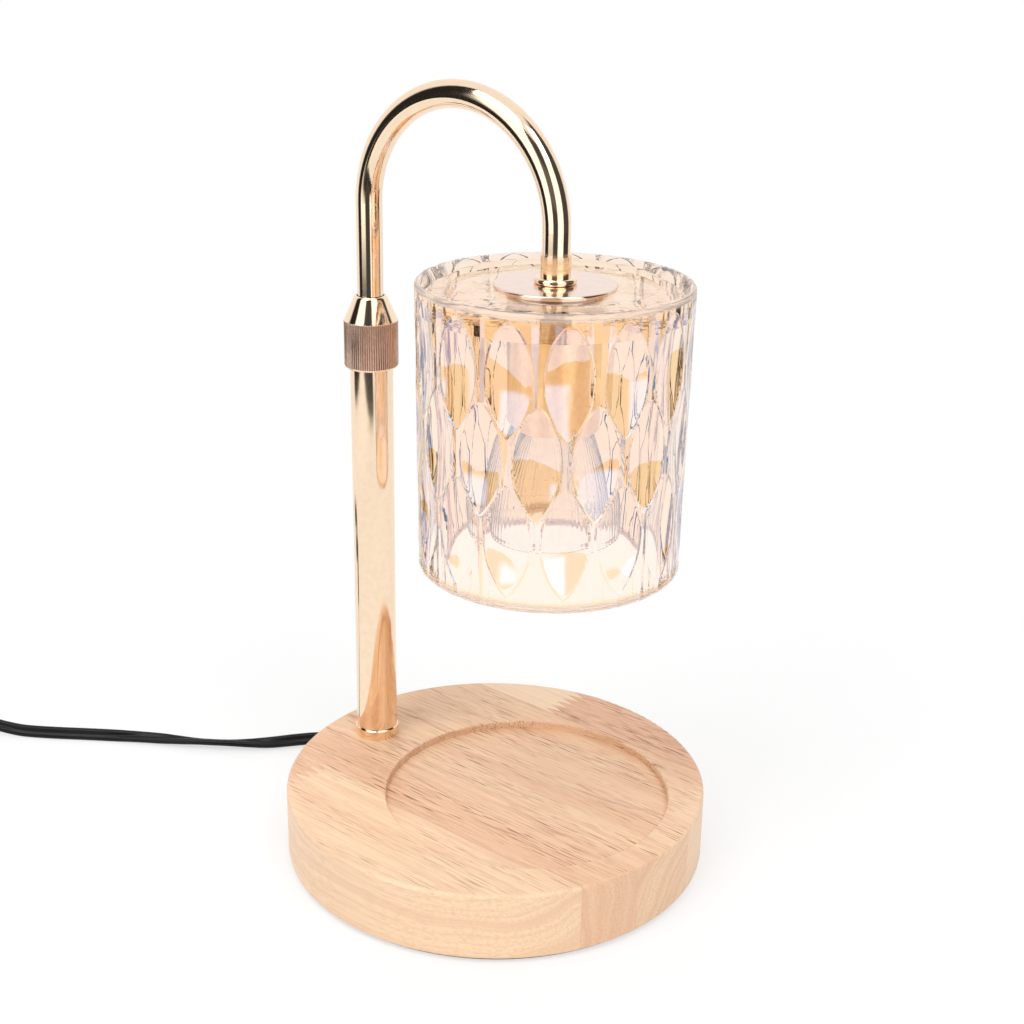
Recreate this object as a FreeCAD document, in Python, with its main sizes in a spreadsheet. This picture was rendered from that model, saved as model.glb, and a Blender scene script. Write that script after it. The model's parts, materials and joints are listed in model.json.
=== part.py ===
"""Candle warmer lamp: a wooden base with a candle seat, a brass pole with a height lock, a gooseneck
arm that slides and swivels in the pole, and a moulded glass shade around a reflector bulb.

Frame: the origin is the centre of the base's resting face, +Z is up, and +X points from the pole to
the shade. Millimetres and degrees. The arm, shade and pole share the plane Y = 0.
"""
import FreeCAD, Part
import math
import os
from types import SimpleNamespace

import Sketcher
from FreeCAD import Placement, Rotation, Vector

SIZES = {
    # Clearances, radial or face to face
    "press_gap": 0.02,
    "running_gap": 0.05,
    "hole_gap": 0.25,
    "free_gap": 0.3,
    # Base
    "base_radius": 80.0,
    "wood_thick": 26.0,
    "wood_round": 1.2,
    "pad_thick": 1.5,
    "pad_inset": 2.5,
    "seat_x": 14.75,
    "seat_radius": 53.65,
    "seat_depth": 3.0,
    "seat_round": 0.6,
    "cavity_radius": 16.0,
    "cavity_depth": 9.5,
    "pocket_radius": 12.0,
    "pocket_depth": 6.0,
    "exit_turn": 170.0,
    "groove_wide": 6.4,
    "groove_high": 7.0,
    "groove_run": 20.0,
    # Pole and its fixing
    "pole_x": -60.0,
    "pole_radius": 8.0,
    "pole_wall": 1.2,
    "pole_length": 160.5,
    "foot_wall": 0.58,
    "foot_high": 4.0,
    "pole_plug_long": 12.5,
    "nipple_radius": 5.0,
    "nipple_bore": 3.1,
    "nipple_tail": 1.8,
    "washer_radius": 11.0,
    "washer_thick": 1.2,
    "nut_flats": 14.0,
    "nut_thick": 5.0,
    "strap_radius": 68.0,
    "strap_long": 18.0,
    "strap_wide": 6.0,
    "strap_thick": 0.7,
    "strap_pitch": 12.5,
    "strap_screw_radius": 1.25,
    "strap_screw_long": 8.0,
    "grommet_inside": 6.0,
    "grommet_outside": 1.5,
    # Height lock on the pole's top
    "spigot_long": 15.0,
    "bush_flange": 1.5,
    "thread_radius": 7.3,
    "thread_high": 6.5,
    "mouth_depth": 3.5,
    "mouth_radius": 6.3,
    "collet_into": 3.0,
    "collet_out": 4.9,
    "collet_slit": 0.8,
    "thrust_thick": 1.2,
    "thrust_radius": 6.9,
    "collar_radius": 10.1,
    "collar_skirt": 7.0,
    "knurl_high": 18.0,
    "cone_high": 9.0,
    "cone_radius": 5.8,
    "collar_round": 1.0,
    # Arm
    "reach": 82.15,
    "tube_radius": 4.8,
    "tube_wall": 1.0,
    "arm_rise": 54.2,
    "leg_drop": 13.2,
    "raise_travel": 70.0,
    "travel_spare": 1.0,
    "stop_high": 3.0,
    "stop_wall": 1.3,
    "guide_high": 12.0,
    "guide_gap": 0.2,
    "clip_high": 1.2,
    "clip_wall": 1.5,
    "tube_tail": 1.5,
    # Neck stack under the arm's end
    "sleeve_wall": 0.45,
    "sleeve_over": 5.3,
    "sleeve_under": 2.0,
    "flange_radius": 7.4,
    "flange_thick": 2.2,
    "disc_radius": 21.0,
    "disc_thick": 1.5,
    "stud_bore": 2.6,
    "stud_into_tube": 11.0,
    "stud_tail": 0.8,
    "gasket_radius": 14.0,
    "gasket_thick": 1.0,
    "neck_nut_flats": 13.0,
    "neck_nut_thick": 3.5,
    # Glass shade
    "shade_high": 102.0,
    "shade_top_radius": 47.45,
    "shade_foot_radius": 46.25,
    "glass_wall": 5.2,
    "glass_crown": 8.3,
    "crown_radius": 35.7,
    "crown_recess": 2.2,
    "glass_round": 1.5,
    "facet_turn": -0.9,
    "facet_depth": 1.7,
    "facet_across": 33.0,
    "facet_along": 106.0,
    "facet_row": 27.5,
    "facet_first": 22.5,
    "facet_count": 15.0,
    "facet_reach": 24.0,
    # Lamp holder and bulb
    "cup_radius": 16.5,
    "cup_wall": 0.8,
    "cup_high": 37.5,
    "bracket_thick": 1.0,
    "bracket_wide": 10.0,
    "bracket_drop": 22.0,
    "holder_radius": 13.0,
    "holder_high": 21.5,
    "holder_drop": 8.0,
    "slot_radius": 3.0,
    "slot_depth": 9.0,
    "pin_pitch": 10.0,
    "pin_radius": 2.35,
    "pin_long": 6.4,
    "contact_radius": 2.6,
    "contact_thick": 1.5,
    "screw_radius": 1.4,
    "screw_long": 5.0,
    "screw_head_radius": 2.4,
    "screw_head_high": 1.0,
    "bulb_radius": 25.0,
    "bulb_neck_radius": 12.0,
    "bulb_base_high": 7.6,
    "bulb_body_high": 35.0,
    "bulb_rim_high": 4.0,
    "bulb_wall": 1.2,
    "bulb_curve": 75.0,
    "lens_thick": 1.5,
    "lens_inset": 0.4,
    "capsule_radius": 4.5,
    "capsule_high": 22.0,
    # Leads
    "lead_radius": 2.2,
    "lead_height": 4.6,
    "lead_top": 46.0,
    "cord_radius": 2.6,
    # Dimmer on the cord
    "dimmer_x": -262.5,
    "dimmer_y": -91.6,
    "dimmer_turn": 212.0,
    "dimmer_long": 56.0,
    "dimmer_wide": 26.0,
    "dimmer_low_high": 8.0,
    "dimmer_top_high": 8.0,
    "dimmer_wall": 1.6,
    "dimmer_corner": 7.0,
    "dimmer_edge": 1.2,
    "dimmer_axis": 6.0,
    "relief_long": 16.0,
    "relief_root": 4.4,
    "dial_radius": 8.5,
    "dial_high": 5.0,
    "dial_sunk": 1.2,
    "dial_lift": 0.5,
    "dial_round": 1.0,
    "shaft_radius": 2.0,
    "pot_wide": 12.0,
    "pot_high": 3.5,
    "board_long": 37.0,
    "board_wide": 18.0,
    "board_thick": 1.6,
    "board_height": 4.2,
    "rest_pitch": 28.0,
    "rest_thick": 1.5,
    "dimmer_screw_pitch": 46.0,
    "dimmer_screw_long": 11.0,
    "boss_radius": 2.9,
    # Coil, its tie, and the plug on the cord's end
    "coil_x": -331.0,
    "coil_y": -77.4,
    "coil_radius": 35.0,
    "coil_wide": 13.6,
    "coil_high": 10.8,
    "coil_round": 3.0,
    "tie_turn": 60.0,
    "tie_wide": 7.0,
    "tie_thick": 0.8,
    "plug_x": -369.5,
    "plug_y": -33.2,
    "plug_turn": 97.0,
    "plug_long": 26.0,
    "plug_wide": 22.0,
    "plug_high": 14.0,
    "plug_round": 3.0,
    "plug_relief_root": 5.0,
    "blade_long": 16.0,
    "blade_thick": 1.5,
    "blade_pitch": 12.7,
    "blade_wide": 6.35,
    "wide_blade": 7.9,
}


class Size:
    """A length or angle: the expression that a property is bound to, and its value now."""

    def __init__(self, text, value):
        self.text = text
        self.value = value

    def joined(self, sign, other, value):
        return Size(f"({self.text} {sign} {size(other).text})", value)

    def __add__(self, other):
        return self.joined("+", other, self.value + size(other).value)

    def __sub__(self, other):
        return self.joined("-", other, self.value - size(other).value)

    def __mul__(self, other):
        return self.joined("*", other, self.value * size(other).value)

    def __truediv__(self, other):
        return self.joined("/", other, self.value / size(other).value)

    def __rmul__(self, other):
        return size(other) * self

    def __rsub__(self, other):
        return size(other) - self

    def __neg__(self):
        return size(0) - self


def size(value):
    if isinstance(value, Size):
        return value
    return Size(repr(float(value)), float(value))


def cosine(angle):
    return Size(f"cos({angle.text})", math.cos(math.radians(angle.value)))


def root(number):
    return Size(f"sqrt({number.text})", math.sqrt(number.value))


def sine(angle):
    return Size(f"sin({angle.text})", math.sin(math.radians(angle.value)))


doc = FreeCAD.newDocument("candle_warmer_lamp")
sheet = doc.addObject("Spreadsheet::Sheet", "sizes")
for row, (name, value) in enumerate(SIZES.items(), 1):
    sheet.set(f"A{row}", name)
    sheet.set(f"B{row}", str(value))
    sheet.setAlias(f"B{row}", name)
doc.recompute()
s = SimpleNamespace(**{name: Size(f"sizes.{name}", value) for name, value in SIZES.items()})

# Heights and radii that several pieces share
WOOD_LOW = s.pad_thick
WOOD_TOP = WOOD_LOW + s.wood_thick
CAVITY_TOP = WOOD_LOW + s.cavity_depth
POCKET_TOP = CAVITY_TOP + s.pocket_depth
WASHER_LOW = POCKET_TOP - s.washer_thick
NUT_LOW = WASHER_LOW - s.nut_thick
POLE_TOP = WOOD_TOP + s.pole_length
POLE_BORE = s.pole_radius - s.pole_wall
THREAD_LOW = POLE_TOP + s.bush_flange
THREAD_TOP = THREAD_LOW + s.thread_high
COLLET_LOW = THREAD_TOP - s.collet_into
COLLET_TOP = THREAD_TOP + s.collet_out
THRUST_LOW = COLLET_TOP + s.running_gap
THRUST_TOP = THRUST_LOW + s.thrust_thick
COLLAR_LOW = POLE_TOP - s.collar_skirt
CONE_LOW = COLLAR_LOW + s.knurl_high
CONE_TOP = CONE_LOW + s.cone_high
TUBE_HOLE = s.tube_radius + s.free_gap
TUBE_GRIP = s.tube_radius + s.press_gap
TUBE_RUN = s.tube_radius + s.running_gap
TUBE_BORE = s.tube_radius - s.tube_wall
SHADE_X = s.pole_x + s.reach
BEND_HEIGHT = POLE_TOP + s.arm_rise
TUBE_END = BEND_HEIGHT - s.leg_drop
STOP_TOP = POLE_TOP - s.spigot_long - s.travel_spare - s.raise_travel
STOP_LOW = STOP_TOP - s.stop_high
GUIDE_TOP = STOP_LOW - s.guide_gap
GUIDE_LOW = GUIDE_TOP - s.guide_high
CLIP_TOP = GUIDE_LOW - s.guide_gap
CLIP_LOW = CLIP_TOP - s.clip_high
TUBE_LOW = CLIP_LOW - s.tube_tail
SLEEVE_TOP = TUBE_END + s.sleeve_over
FLANGE_TOP = TUBE_END - s.sleeve_under
DISC_TOP = FLANGE_TOP - s.flange_thick
GLASS_SEAT = DISC_TOP - s.disc_thick
SHADE_TOP = GLASS_SEAT + s.crown_recess
SHADE_LOW = SHADE_TOP - s.shade_high
CROWN_LOW = GLASS_SEAT - s.glass_crown
CUP_TOP = CROWN_LOW - s.gasket_thick
BRACKET_TOP = CUP_TOP - s.cup_wall
BRACKET_LOW = BRACKET_TOP - s.bracket_thick
NECK_NUT_LOW = BRACKET_LOW - s.neck_nut_thick
STUD_LOW = NECK_NUT_LOW - s.stud_tail
STUD_RADIUS = TUBE_BORE - s.press_gap
STUD_HOLE = STUD_RADIUS + s.hole_gap
CUP_LOW = CUP_TOP - s.cup_high
HOLDER_TOP = BRACKET_TOP - s.holder_drop
HOLDER_LOW = HOLDER_TOP - s.holder_high
BULB_TOP = HOLDER_LOW - s.free_gap
NECK_HEIGHT = BULB_TOP - s.bulb_base_high
RIM_TOP = NECK_HEIGHT - s.bulb_body_high
BULB_LOW = RIM_TOP - s.bulb_rim_high

FACET_ROWS = 3
CAPSULE_TIP = 0.9
ARC_SHARE = 0.45
VOLUME_SLACK = 0.01
HEXAGON = 6
LENGTH_SLACK = 0.01

nodes = []


def bind(thing, name, length):
    """Ties one property of an object to the sheet."""
    thing.setExpression(name, length.text)


def place(thing, x=None, y=None, z=None, turn=None):
    """Puts an object at bound coordinates, turned about its own upright axis."""
    thing.Placement = Placement(Vector(0, 0, 0), Rotation(Vector(0, 0, 1), turn.value if turn else 0))
    for name, length in (("x", x), ("y", y), ("z", z)):
        if length:
            bind(thing, f"Placement.Base.{name}", length)
    if turn:
        bind(thing, "Placement.Rotation.Angle", turn)


def keep(thing, label):
    """Makes an object one of the lamp's pieces."""
    thing.Label = label
    nodes.append(thing)
    return thing


def plane(body, role):
    return next(item for item in body.Origin.OriginFeatures if item.Role == role)


def new_body(label):
    return keep(doc.addObject("PartDesign::Body", label), label)


def new_sketch(body, name, role="XZ_Plane"):
    sketch = body.newObject("Sketcher::SketchObject", name)
    sketch.AttachmentSupport = [(plane(body, role), "")]
    sketch.MapMode = "FlatFace"
    return sketch


def fix_point(sketch, geometry, end, x, y):
    """Places one end of an edge by two bound distances from the sketch's origin."""
    for kind, length in (("DistanceX", x), ("DistanceY", y)):
        index = sketch.addConstraint(Sketcher.Constraint(kind, -1, 1, geometry, end, length.value))
        sketch.setExpression(f"Constraints[{index}]", length.text)


def arc_between(start, end, radius):
    """A circular arc from start to end: anticlockwise when radius is positive, else clockwise."""
    first, last = (start, end) if radius > 0 else (end, start)
    half = (last - first) * 0.5
    side = Vector(-half.y, half.x, 0).normalize()
    centre = first + half + side * math.sqrt(radius**2 - half.Length**2)
    angles = [math.atan2(point.y - centre.y, point.x - centre.x) for point in (first, last)]
    return Part.ArcOfCircle(Part.Circle(centre, Vector(0, 0, 1), abs(radius)), *angles)


def draw_outline(sketch, points):
    """A closed outline. A point is (x, y), or (x, y, radius) where the edge that leaves it is an arc."""
    points = [tuple(size(number) for number in point) for point in points]
    ends = []
    for point, after in zip(points, points[1:] + points[:1]):
        start = Vector(point[0].value, point[1].value, 0)
        end = Vector(after[0].value, after[1].value, 0)
        if len(point) == 2:
            index = sketch.addGeometry(Part.LineSegment(start, end))
            ends.append((index, 1, 2))
            continue
        index = sketch.addGeometry(arc_between(start, end, point[2].value))
        ends.append((index, 1, 2) if point[2].value > 0 else (index, 2, 1))
    for (index, _, end), (following, start, _) in zip(ends, ends[1:] + ends[:1]):
        sketch.addConstraint(Sketcher.Constraint("Coincident", index, end, following, start))
    for (index, start, _), point in zip(ends, points):
        fix_point(sketch, index, start, point[0], point[1])
        if len(point) == 3:
            radius = point[2] if point[2].value > 0 else -point[2]
            number = sketch.addConstraint(Sketcher.Constraint("Radius", index, radius.value))
            sketch.setExpression(f"Constraints[{number}]", radius.text)


def turn_section(body, name, points, kind="PartDesign::Revolution"):
    """Spins a half section, given as (radius, height) points, about the body's own axis."""
    sketch = new_sketch(body, f"{name}_section")
    draw_outline(sketch, points)
    spin = body.newObject(kind, name)
    spin.Profile = sketch
    spin.ReferenceAxis = (sketch, ["V_Axis"])
    spin.Angle = 360
    return spin


def turned(label, points, x=None):
    """A turned piece about an upright axis."""
    body = new_body(label)
    turn_section(body, f"{label}_turning", points)
    place(body, x=x)
    return body


def ring_points(outer, inner, low, high):
    """The half section of a ring."""
    return [(inner, low), (outer, low), (outer, high), (inner, high)]


def disc_points(radius, low, high):
    """The half section of a disc or rod."""
    return ring_points(radius, 0, low, high)


def solid(body, kind, name, x=None, y=None, z=None, turn=None, **lengths):
    """A box or cylinder added to or cut from a body, at bound sizes and place."""
    shape = body.newObject(f"PartDesign::{kind}", name)
    shape.AttachmentSupport = [(plane(body, "XY_Plane"), "")]
    shape.MapMode = "FlatFace"
    angle = turn.value if turn else 0
    shape.AttachmentOffset = Placement(Vector(0, 0, 0), Rotation(Vector(0, 0, 1), angle))
    for side, length in (("x", x), ("y", y), ("z", z)):
        if length:
            bind(shape, f"AttachmentOffset.Base.{side}", length)
    if turn:
        bind(shape, "AttachmentOffset.Rotation.Angle", turn)
    for name, length in lengths.items():
        bind(shape, name, length)
    return shape


def bar(body, kind, name, along, turn, long, wide, low, high):
    """A box that runs outward in the direction turn, from the distance along, centred on that line."""
    return solid(
        body,
        kind,
        name,
        x=along * cosine(turn) + wide / 2 * sine(turn),
        y=along * sine(turn) - wide / 2 * cosine(turn),
        z=low,
        turn=turn,
        Length=long,
        Width=wide,
        Height=high - low,
    )


def hexagon(body, name, flats, low, high):
    """A hexagonal prism by its width across flats."""
    prism = solid(body, "AdditivePrism", name, z=low, Height=high - low)
    prism.Polygon = HEXAGON
    bind(prism, "Circumradius", flats / (2 * math.cos(math.pi / HEXAGON)))
    return prism


def edge_names(shape, wanted):
    return [f"Edge{number}" for number, edge in enumerate(shape.Edges, 1) if wanted(edge)]


def dress(body, kind, name, wanted, amount):
    """Rounds or bevels the body's edges that the test picks."""
    doc.recompute()
    base = body.Tip
    edges = edge_names(base.Shape, wanted)
    if not edges:
        raise ValueError(f"{name} found no edges")
    feature = body.newObject(f"PartDesign::{kind}", name)
    feature.Base = (base, edges)
    bind(feature, "Radius" if kind == "Fillet" else "Size", amount)
    return feature


def level(edge, height):
    """Whether an edge lies flat at that height."""
    box = edge.BoundBox
    return abs(box.ZMin - size(height).value) < LENGTH_SLACK and box.ZLength < LENGTH_SLACK


def rim(radius, height):
    """A test for the round edge of that radius at that height."""

    def wanted(edge):
        round_edge = isinstance(edge.Curve, Part.Circle)
        return round_edge and level(edge, height) and abs(edge.Curve.Radius - radius.value) < LENGTH_SLACK

    return wanted


def any_of(*tests):
    return lambda edge: any(test(edge) for test in tests)


def cylinder(name, radius, high, x=None, y=None, z=None):
    shape = doc.addObject("Part::Cylinder", name)
    bind(shape, "Radius", radius)
    bind(shape, "Height", high)
    place(shape, x, y, z)
    return shape


def group(label, members):
    """Several separate solids that share one node."""
    together = doc.addObject("Part::Compound", label)
    together.Links = members
    return keep(together, label)


# ---------------------------------------------------------------- base


def make_wood_base():
    """Turned wooden disc: candle seat on top, wiring cavity, nut pocket and cord groove below."""
    body = turned("wood_base", disc_points(s.base_radius, WOOD_LOW, WOOD_TOP))
    cut = "SubtractiveCylinder"
    seat_floor = WOOD_TOP - s.seat_depth
    solid(body, cut, "seat_cut", x=s.seat_x, z=seat_floor, Radius=s.seat_radius, Height=s.seat_depth)
    solid(body, cut, "cavity_cut", x=s.pole_x, z=WOOD_LOW, Radius=s.cavity_radius, Height=s.cavity_depth)
    solid(body, cut, "pocket_cut", x=s.pole_x, z=CAVITY_TOP, Radius=s.pocket_radius, Height=s.pocket_depth)
    nipple_hole = s.nipple_radius + s.hole_gap
    web = WOOD_TOP - POCKET_TOP
    solid(body, cut, "nipple_cut", x=s.pole_x, z=POCKET_TOP, Radius=nipple_hole, Height=web)
    dress(
        body,
        "Fillet",
        "wood_edges",
        any_of(rim(s.base_radius, WOOD_LOW), rim(s.base_radius, WOOD_TOP)),
        s.wood_round,
    )
    dress(body, "Fillet", "seat_edge", rim(s.seat_radius, WOOD_TOP), s.seat_round)
    groove_start = s.base_radius - s.groove_run
    bar(
        body,
        "SubtractiveBox",
        "groove_cut",
        groove_start,
        s.exit_turn,
        s.groove_run,
        s.groove_wide,
        WOOD_LOW,
        WOOD_LOW + s.groove_high,
    )
    strap_space = s.strap_wide + s.free_gap * 2
    across = s.exit_turn - 90
    solid(
        body,
        "SubtractiveBox",
        "strap_cut",
        x=strap_corner_x(strap_space, s.strap_long + s.free_gap * 2),
        y=strap_corner_y(strap_space, s.strap_long + s.free_gap * 2),
        z=WOOD_LOW,
        turn=across,
        Length=s.strap_long + s.free_gap * 2,
        Width=strap_space,
        Height=s.strap_thick + s.free_gap,
    )
    for side, name in ((-0.5, "screw_cut_a"), (0.5, "screw_cut_b")):
        solid(
            body,
            cut,
            name,
            x=strap_x(side * s.strap_pitch),
            y=strap_y(side * s.strap_pitch),
            z=WOOD_LOW,
            Radius=s.strap_screw_radius + s.press_gap,
            Height=s.strap_screw_long + s.free_gap,
        )


def strap_x(sideways):
    """A place on the strap, measured sideways from the groove's centre line."""
    return s.strap_radius * cosine(s.exit_turn) + sideways * sine(s.exit_turn)


def strap_y(sideways):
    return s.strap_radius * sine(s.exit_turn) - sideways * cosine(s.exit_turn)


def strap_corner_x(wide, long):
    """The corner that a box of that width and length starts from, to lie centred over the strap."""
    return strap_x(-long / 2) - wide / 2 * cosine(s.exit_turn)


def strap_corner_y(wide, long):
    return strap_y(-long / 2) - wide / 2 * sine(s.exit_turn)


def make_base_fittings():
    turned("base_pad", disc_points(s.base_radius - s.pad_inset, 0, WOOD_LOW))
    nipple_hole = s.nipple_radius + s.hole_gap
    turned("base_washer", ring_points(s.washer_radius, nipple_hole, WASHER_LOW, POCKET_TOP), x=s.pole_x)
    nut = new_body("base_nut")
    hexagon(nut, "base_nut_prism", s.nut_flats, NUT_LOW, WASHER_LOW)
    grip = s.nipple_radius + s.press_gap
    solid(nut, "SubtractiveCylinder", "base_nut_bore", z=NUT_LOW, Radius=grip, Height=s.nut_thick)
    place(nut, x=s.pole_x)
    nipple_low = NUT_LOW - s.nipple_tail
    nipple_top = WOOD_TOP + s.pole_plug_long - s.press_gap
    turned("base_nipple", ring_points(s.nipple_radius, s.nipple_bore, nipple_low, nipple_top), x=s.pole_x)
    plug_radius = POLE_BORE - s.press_gap
    turned("pole_plug", ring_points(plug_radius, grip, WOOD_TOP, WOOD_TOP + s.pole_plug_long), x=s.pole_x)


def make_cord_anchor():
    """Steel strap with two screws that holds the lead in its groove, and the grommet at the rim."""
    strap = new_body("cord_strap")
    across = s.exit_turn - 90
    solid(
        strap,
        "AdditiveBox",
        "strap_plate",
        x=strap_corner_x(s.strap_wide, s.strap_long),
        y=strap_corner_y(s.strap_wide, s.strap_long),
        z=WOOD_LOW + s.free_gap / 2,
        turn=across,
        Length=s.strap_long,
        Width=s.strap_wide,
        Height=s.strap_thick,
    )
    screws = []
    for side, name in ((-0.5, "strap_screw_a"), (0.5, "strap_screw_b")):
        x = strap_x(side * s.strap_pitch)
        y = strap_y(side * s.strap_pitch)
        solid(
            strap,
            "SubtractiveCylinder",
            f"{name}_hole",
            x=x,
            y=y,
            z=WOOD_LOW,
            Radius=s.strap_screw_radius + s.press_gap,
            Height=s.strap_thick * 2,
        )
        low = WOOD_LOW + s.free_gap / 2
        screws.append(cylinder(name, s.strap_screw_radius, s.strap_screw_long, x, y, low))
    group("strap_screws", screws)
    grommet = new_body("cord_grommet")
    gap = s.running_gap
    grommet_low = WOOD_LOW + gap
    long = s.grommet_inside + s.grommet_outside
    bar(
        grommet,
        "AdditiveBox",
        "grommet_block",
        s.base_radius - s.grommet_inside,
        s.exit_turn,
        long,
        s.groove_wide - gap * 2,
        grommet_low,
        WOOD_LOW + s.groove_high - gap,
    )
    bore = grommet.newObject("PartDesign::SubtractiveCylinder", "grommet_bore")
    bore.AttachmentSupport = [(plane(grommet, "XY_Plane"), "")]
    bore.MapMode = "FlatFace"
    flat = Rotation(Vector(0, 0, 1), s.exit_turn.value) * Rotation(Vector(0, 1, 0), 90)
    bore.AttachmentOffset = Placement(Vector(0, 0, 0), flat)
    start = s.base_radius - s.grommet_inside
    bind(bore, "AttachmentOffset.Base.x", start * cosine(s.exit_turn))
    bind(bore, "AttachmentOffset.Base.y", start * sine(s.exit_turn))
    bind(bore, "AttachmentOffset.Base.z", s.lead_height)
    bind(bore, "Radius", s.lead_radius + s.press_gap)
    bind(bore, "Height", long)


def make_pole():
    turned("pole", ring_points(s.pole_radius, POLE_BORE, WOOD_TOP, POLE_TOP), x=s.pole_x)
    inner = s.pole_radius + s.press_gap
    outer = inner + s.foot_wall
    top = WOOD_TOP + s.foot_high
    foot = turned("foot_ring", ring_points(outer, inner, WOOD_TOP, top), x=s.pole_x)
    dress(foot, "Chamfer", "foot_bevel", rim(outer, top), s.foot_wall / 2)


# ---------------------------------------------------------------- height lock


def make_lock():
    """Threaded bush in the pole's mouth, split collet, thrust ring and the knurled collar over them."""
    spigot = POLE_BORE - s.press_gap
    spigot_low = POLE_TOP - s.spigot_long
    mouth_low = THREAD_TOP - s.mouth_depth
    turned(
        "pole_bush",
        [
            (TUBE_HOLE, spigot_low),
            (spigot, spigot_low),
            (spigot, POLE_TOP),
            (s.pole_radius, POLE_TOP),
            (s.pole_radius, THREAD_LOW),
            (s.thread_radius, THREAD_LOW),
            (s.thread_radius, THREAD_TOP),
            (s.mouth_radius, THREAD_TOP),
            (TUBE_HOLE, mouth_low),
        ],
        x=s.pole_x,
    )
    shoulder = s.mouth_radius - s.running_gap * 2
    slope = (s.mouth_radius - TUBE_HOLE) / s.mouth_depth
    nose = shoulder - slope * s.collet_into
    collet = turned(
        "collet",
        [
            (TUBE_RUN, COLLET_LOW),
            (nose, COLLET_LOW),
            (shoulder, THREAD_TOP),
            (shoulder, COLLET_TOP),
            (TUBE_RUN, COLLET_TOP),
        ],
        x=s.pole_x,
    )
    solid(
        collet,
        "SubtractiveBox",
        "collet_slit",
        y=-s.collet_slit / 2,
        z=COLLET_LOW,
        Length=s.mouth_radius,
        Width=s.collet_slit,
        Height=COLLET_TOP - COLLET_LOW,
    )
    turned("thrust_ring", ring_points(s.thrust_radius, TUBE_HOLE, THRUST_LOW, THRUST_TOP), x=s.pole_x)
    skirt = s.pole_radius + s.free_gap
    thread = s.thread_radius + s.running_gap
    room = s.thrust_radius + s.running_gap
    shelf = THRUST_TOP + s.running_gap
    skirt_top = THREAD_LOW + s.free_gap
    collar = turned(
        "lock_collar",
        [
            (skirt, COLLAR_LOW),
            (s.collar_radius, COLLAR_LOW),
            (s.collar_radius, CONE_LOW),
            (s.cone_radius, CONE_TOP),
            (TUBE_HOLE, CONE_TOP),
            (TUBE_HOLE, shelf),
            (room, shelf),
            (room, THREAD_TOP + s.free_gap * 2),
            (thread, THREAD_TOP + s.free_gap),
            (thread, skirt_top),
            (skirt, skirt_top),
        ],
        x=s.pole_x,
    )
    dress(collar, "Fillet", "collar_foot", rim(s.collar_radius, COLLAR_LOW), s.collar_round)


# ---------------------------------------------------------------- arm


def arm_route(body, name, low, end):
    """The arm's centre line: up from low, half a circle over, and down to end."""
    sketch = new_sketch(body, name)
    bend = s.reach / 2
    up = sketch.addGeometry(Part.LineSegment(Vector(0, low.value, 0), Vector(0, BEND_HEIGHT.value, 0)))
    centre = Vector(bend.value, BEND_HEIGHT.value, 0)
    circle = Part.Circle(centre, Vector(0, 0, 1), bend.value)
    over = sketch.addGeometry(Part.ArcOfCircle(circle, 0, math.pi))
    down = sketch.addGeometry(
        Part.LineSegment(Vector(s.reach.value, BEND_HEIGHT.value, 0), Vector(s.reach.value, end.value, 0))
    )
    sketch.addConstraint(Sketcher.Constraint("Coincident", up, 2, over, 2))
    sketch.addConstraint(Sketcher.Constraint("Coincident", over, 1, down, 1))
    fix_point(sketch, up, 1, size(0), low)
    fix_point(sketch, up, 2, size(0), BEND_HEIGHT)
    fix_point(sketch, down, 1, s.reach, BEND_HEIGHT)
    fix_point(sketch, down, 2, s.reach, end)
    number = sketch.addConstraint(Sketcher.Constraint("DistanceY", -1, 1, over, 3, BEND_HEIGHT.value))
    sketch.setExpression(f"Constraints[{number}]", BEND_HEIGHT.text)
    return sketch


def along_arm(label, radii, low, end):
    """A tube or rod that follows the arm's centre line."""
    body = new_body(label)
    route = arm_route(body, f"{label}_route", low, end)
    section = new_sketch(body, f"{label}_ring", "XY_Plane")
    bind(section, "AttachmentOffset.Base.z", low)
    for radius in radii:
        circle = sketch_circle(section, radius)
        fix_centre(section, circle)
    doc.recompute()
    pipe = body.newObject("PartDesign::AdditivePipe", f"{label}_pipe")
    pipe.Profile = section
    pipe.Spine = (route, ["Edge1", "Edge2", "Edge3"])
    place(body, x=s.pole_x)
    return body


def sketch_circle(sketch, radius):
    index = sketch.addGeometry(Part.Circle(Vector(0, 0, 0), Vector(0, 0, 1), radius.value))
    number = sketch.addConstraint(Sketcher.Constraint("Radius", index, radius.value))
    sketch.setExpression(f"Constraints[{number}]", radius.text)
    return index


def fix_centre(sketch, circle):
    sketch.addConstraint(Sketcher.Constraint("Coincident", circle, 3, -1, 1))


def make_arm():
    along_arm("arm_tube", (s.tube_radius, TUBE_BORE), TUBE_LOW, TUBE_END)
    along_arm("arm_lead", (s.lead_radius,), TUBE_LOW - s.tube_tail, HOLDER_TOP)
    clip = TUBE_GRIP + s.clip_wall
    turned("retaining_ring", ring_points(clip, TUBE_GRIP, CLIP_LOW, CLIP_TOP), x=s.pole_x)
    turned("guide_bush", ring_points(POLE_BORE - s.running_gap, TUBE_RUN, GUIDE_LOW, GUIDE_TOP), x=s.pole_x)
    stop = TUBE_GRIP + s.stop_wall
    turned("stop_ring", ring_points(stop, TUBE_GRIP, STOP_LOW, STOP_TOP), x=s.pole_x)


# ---------------------------------------------------------------- neck and shade


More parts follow.
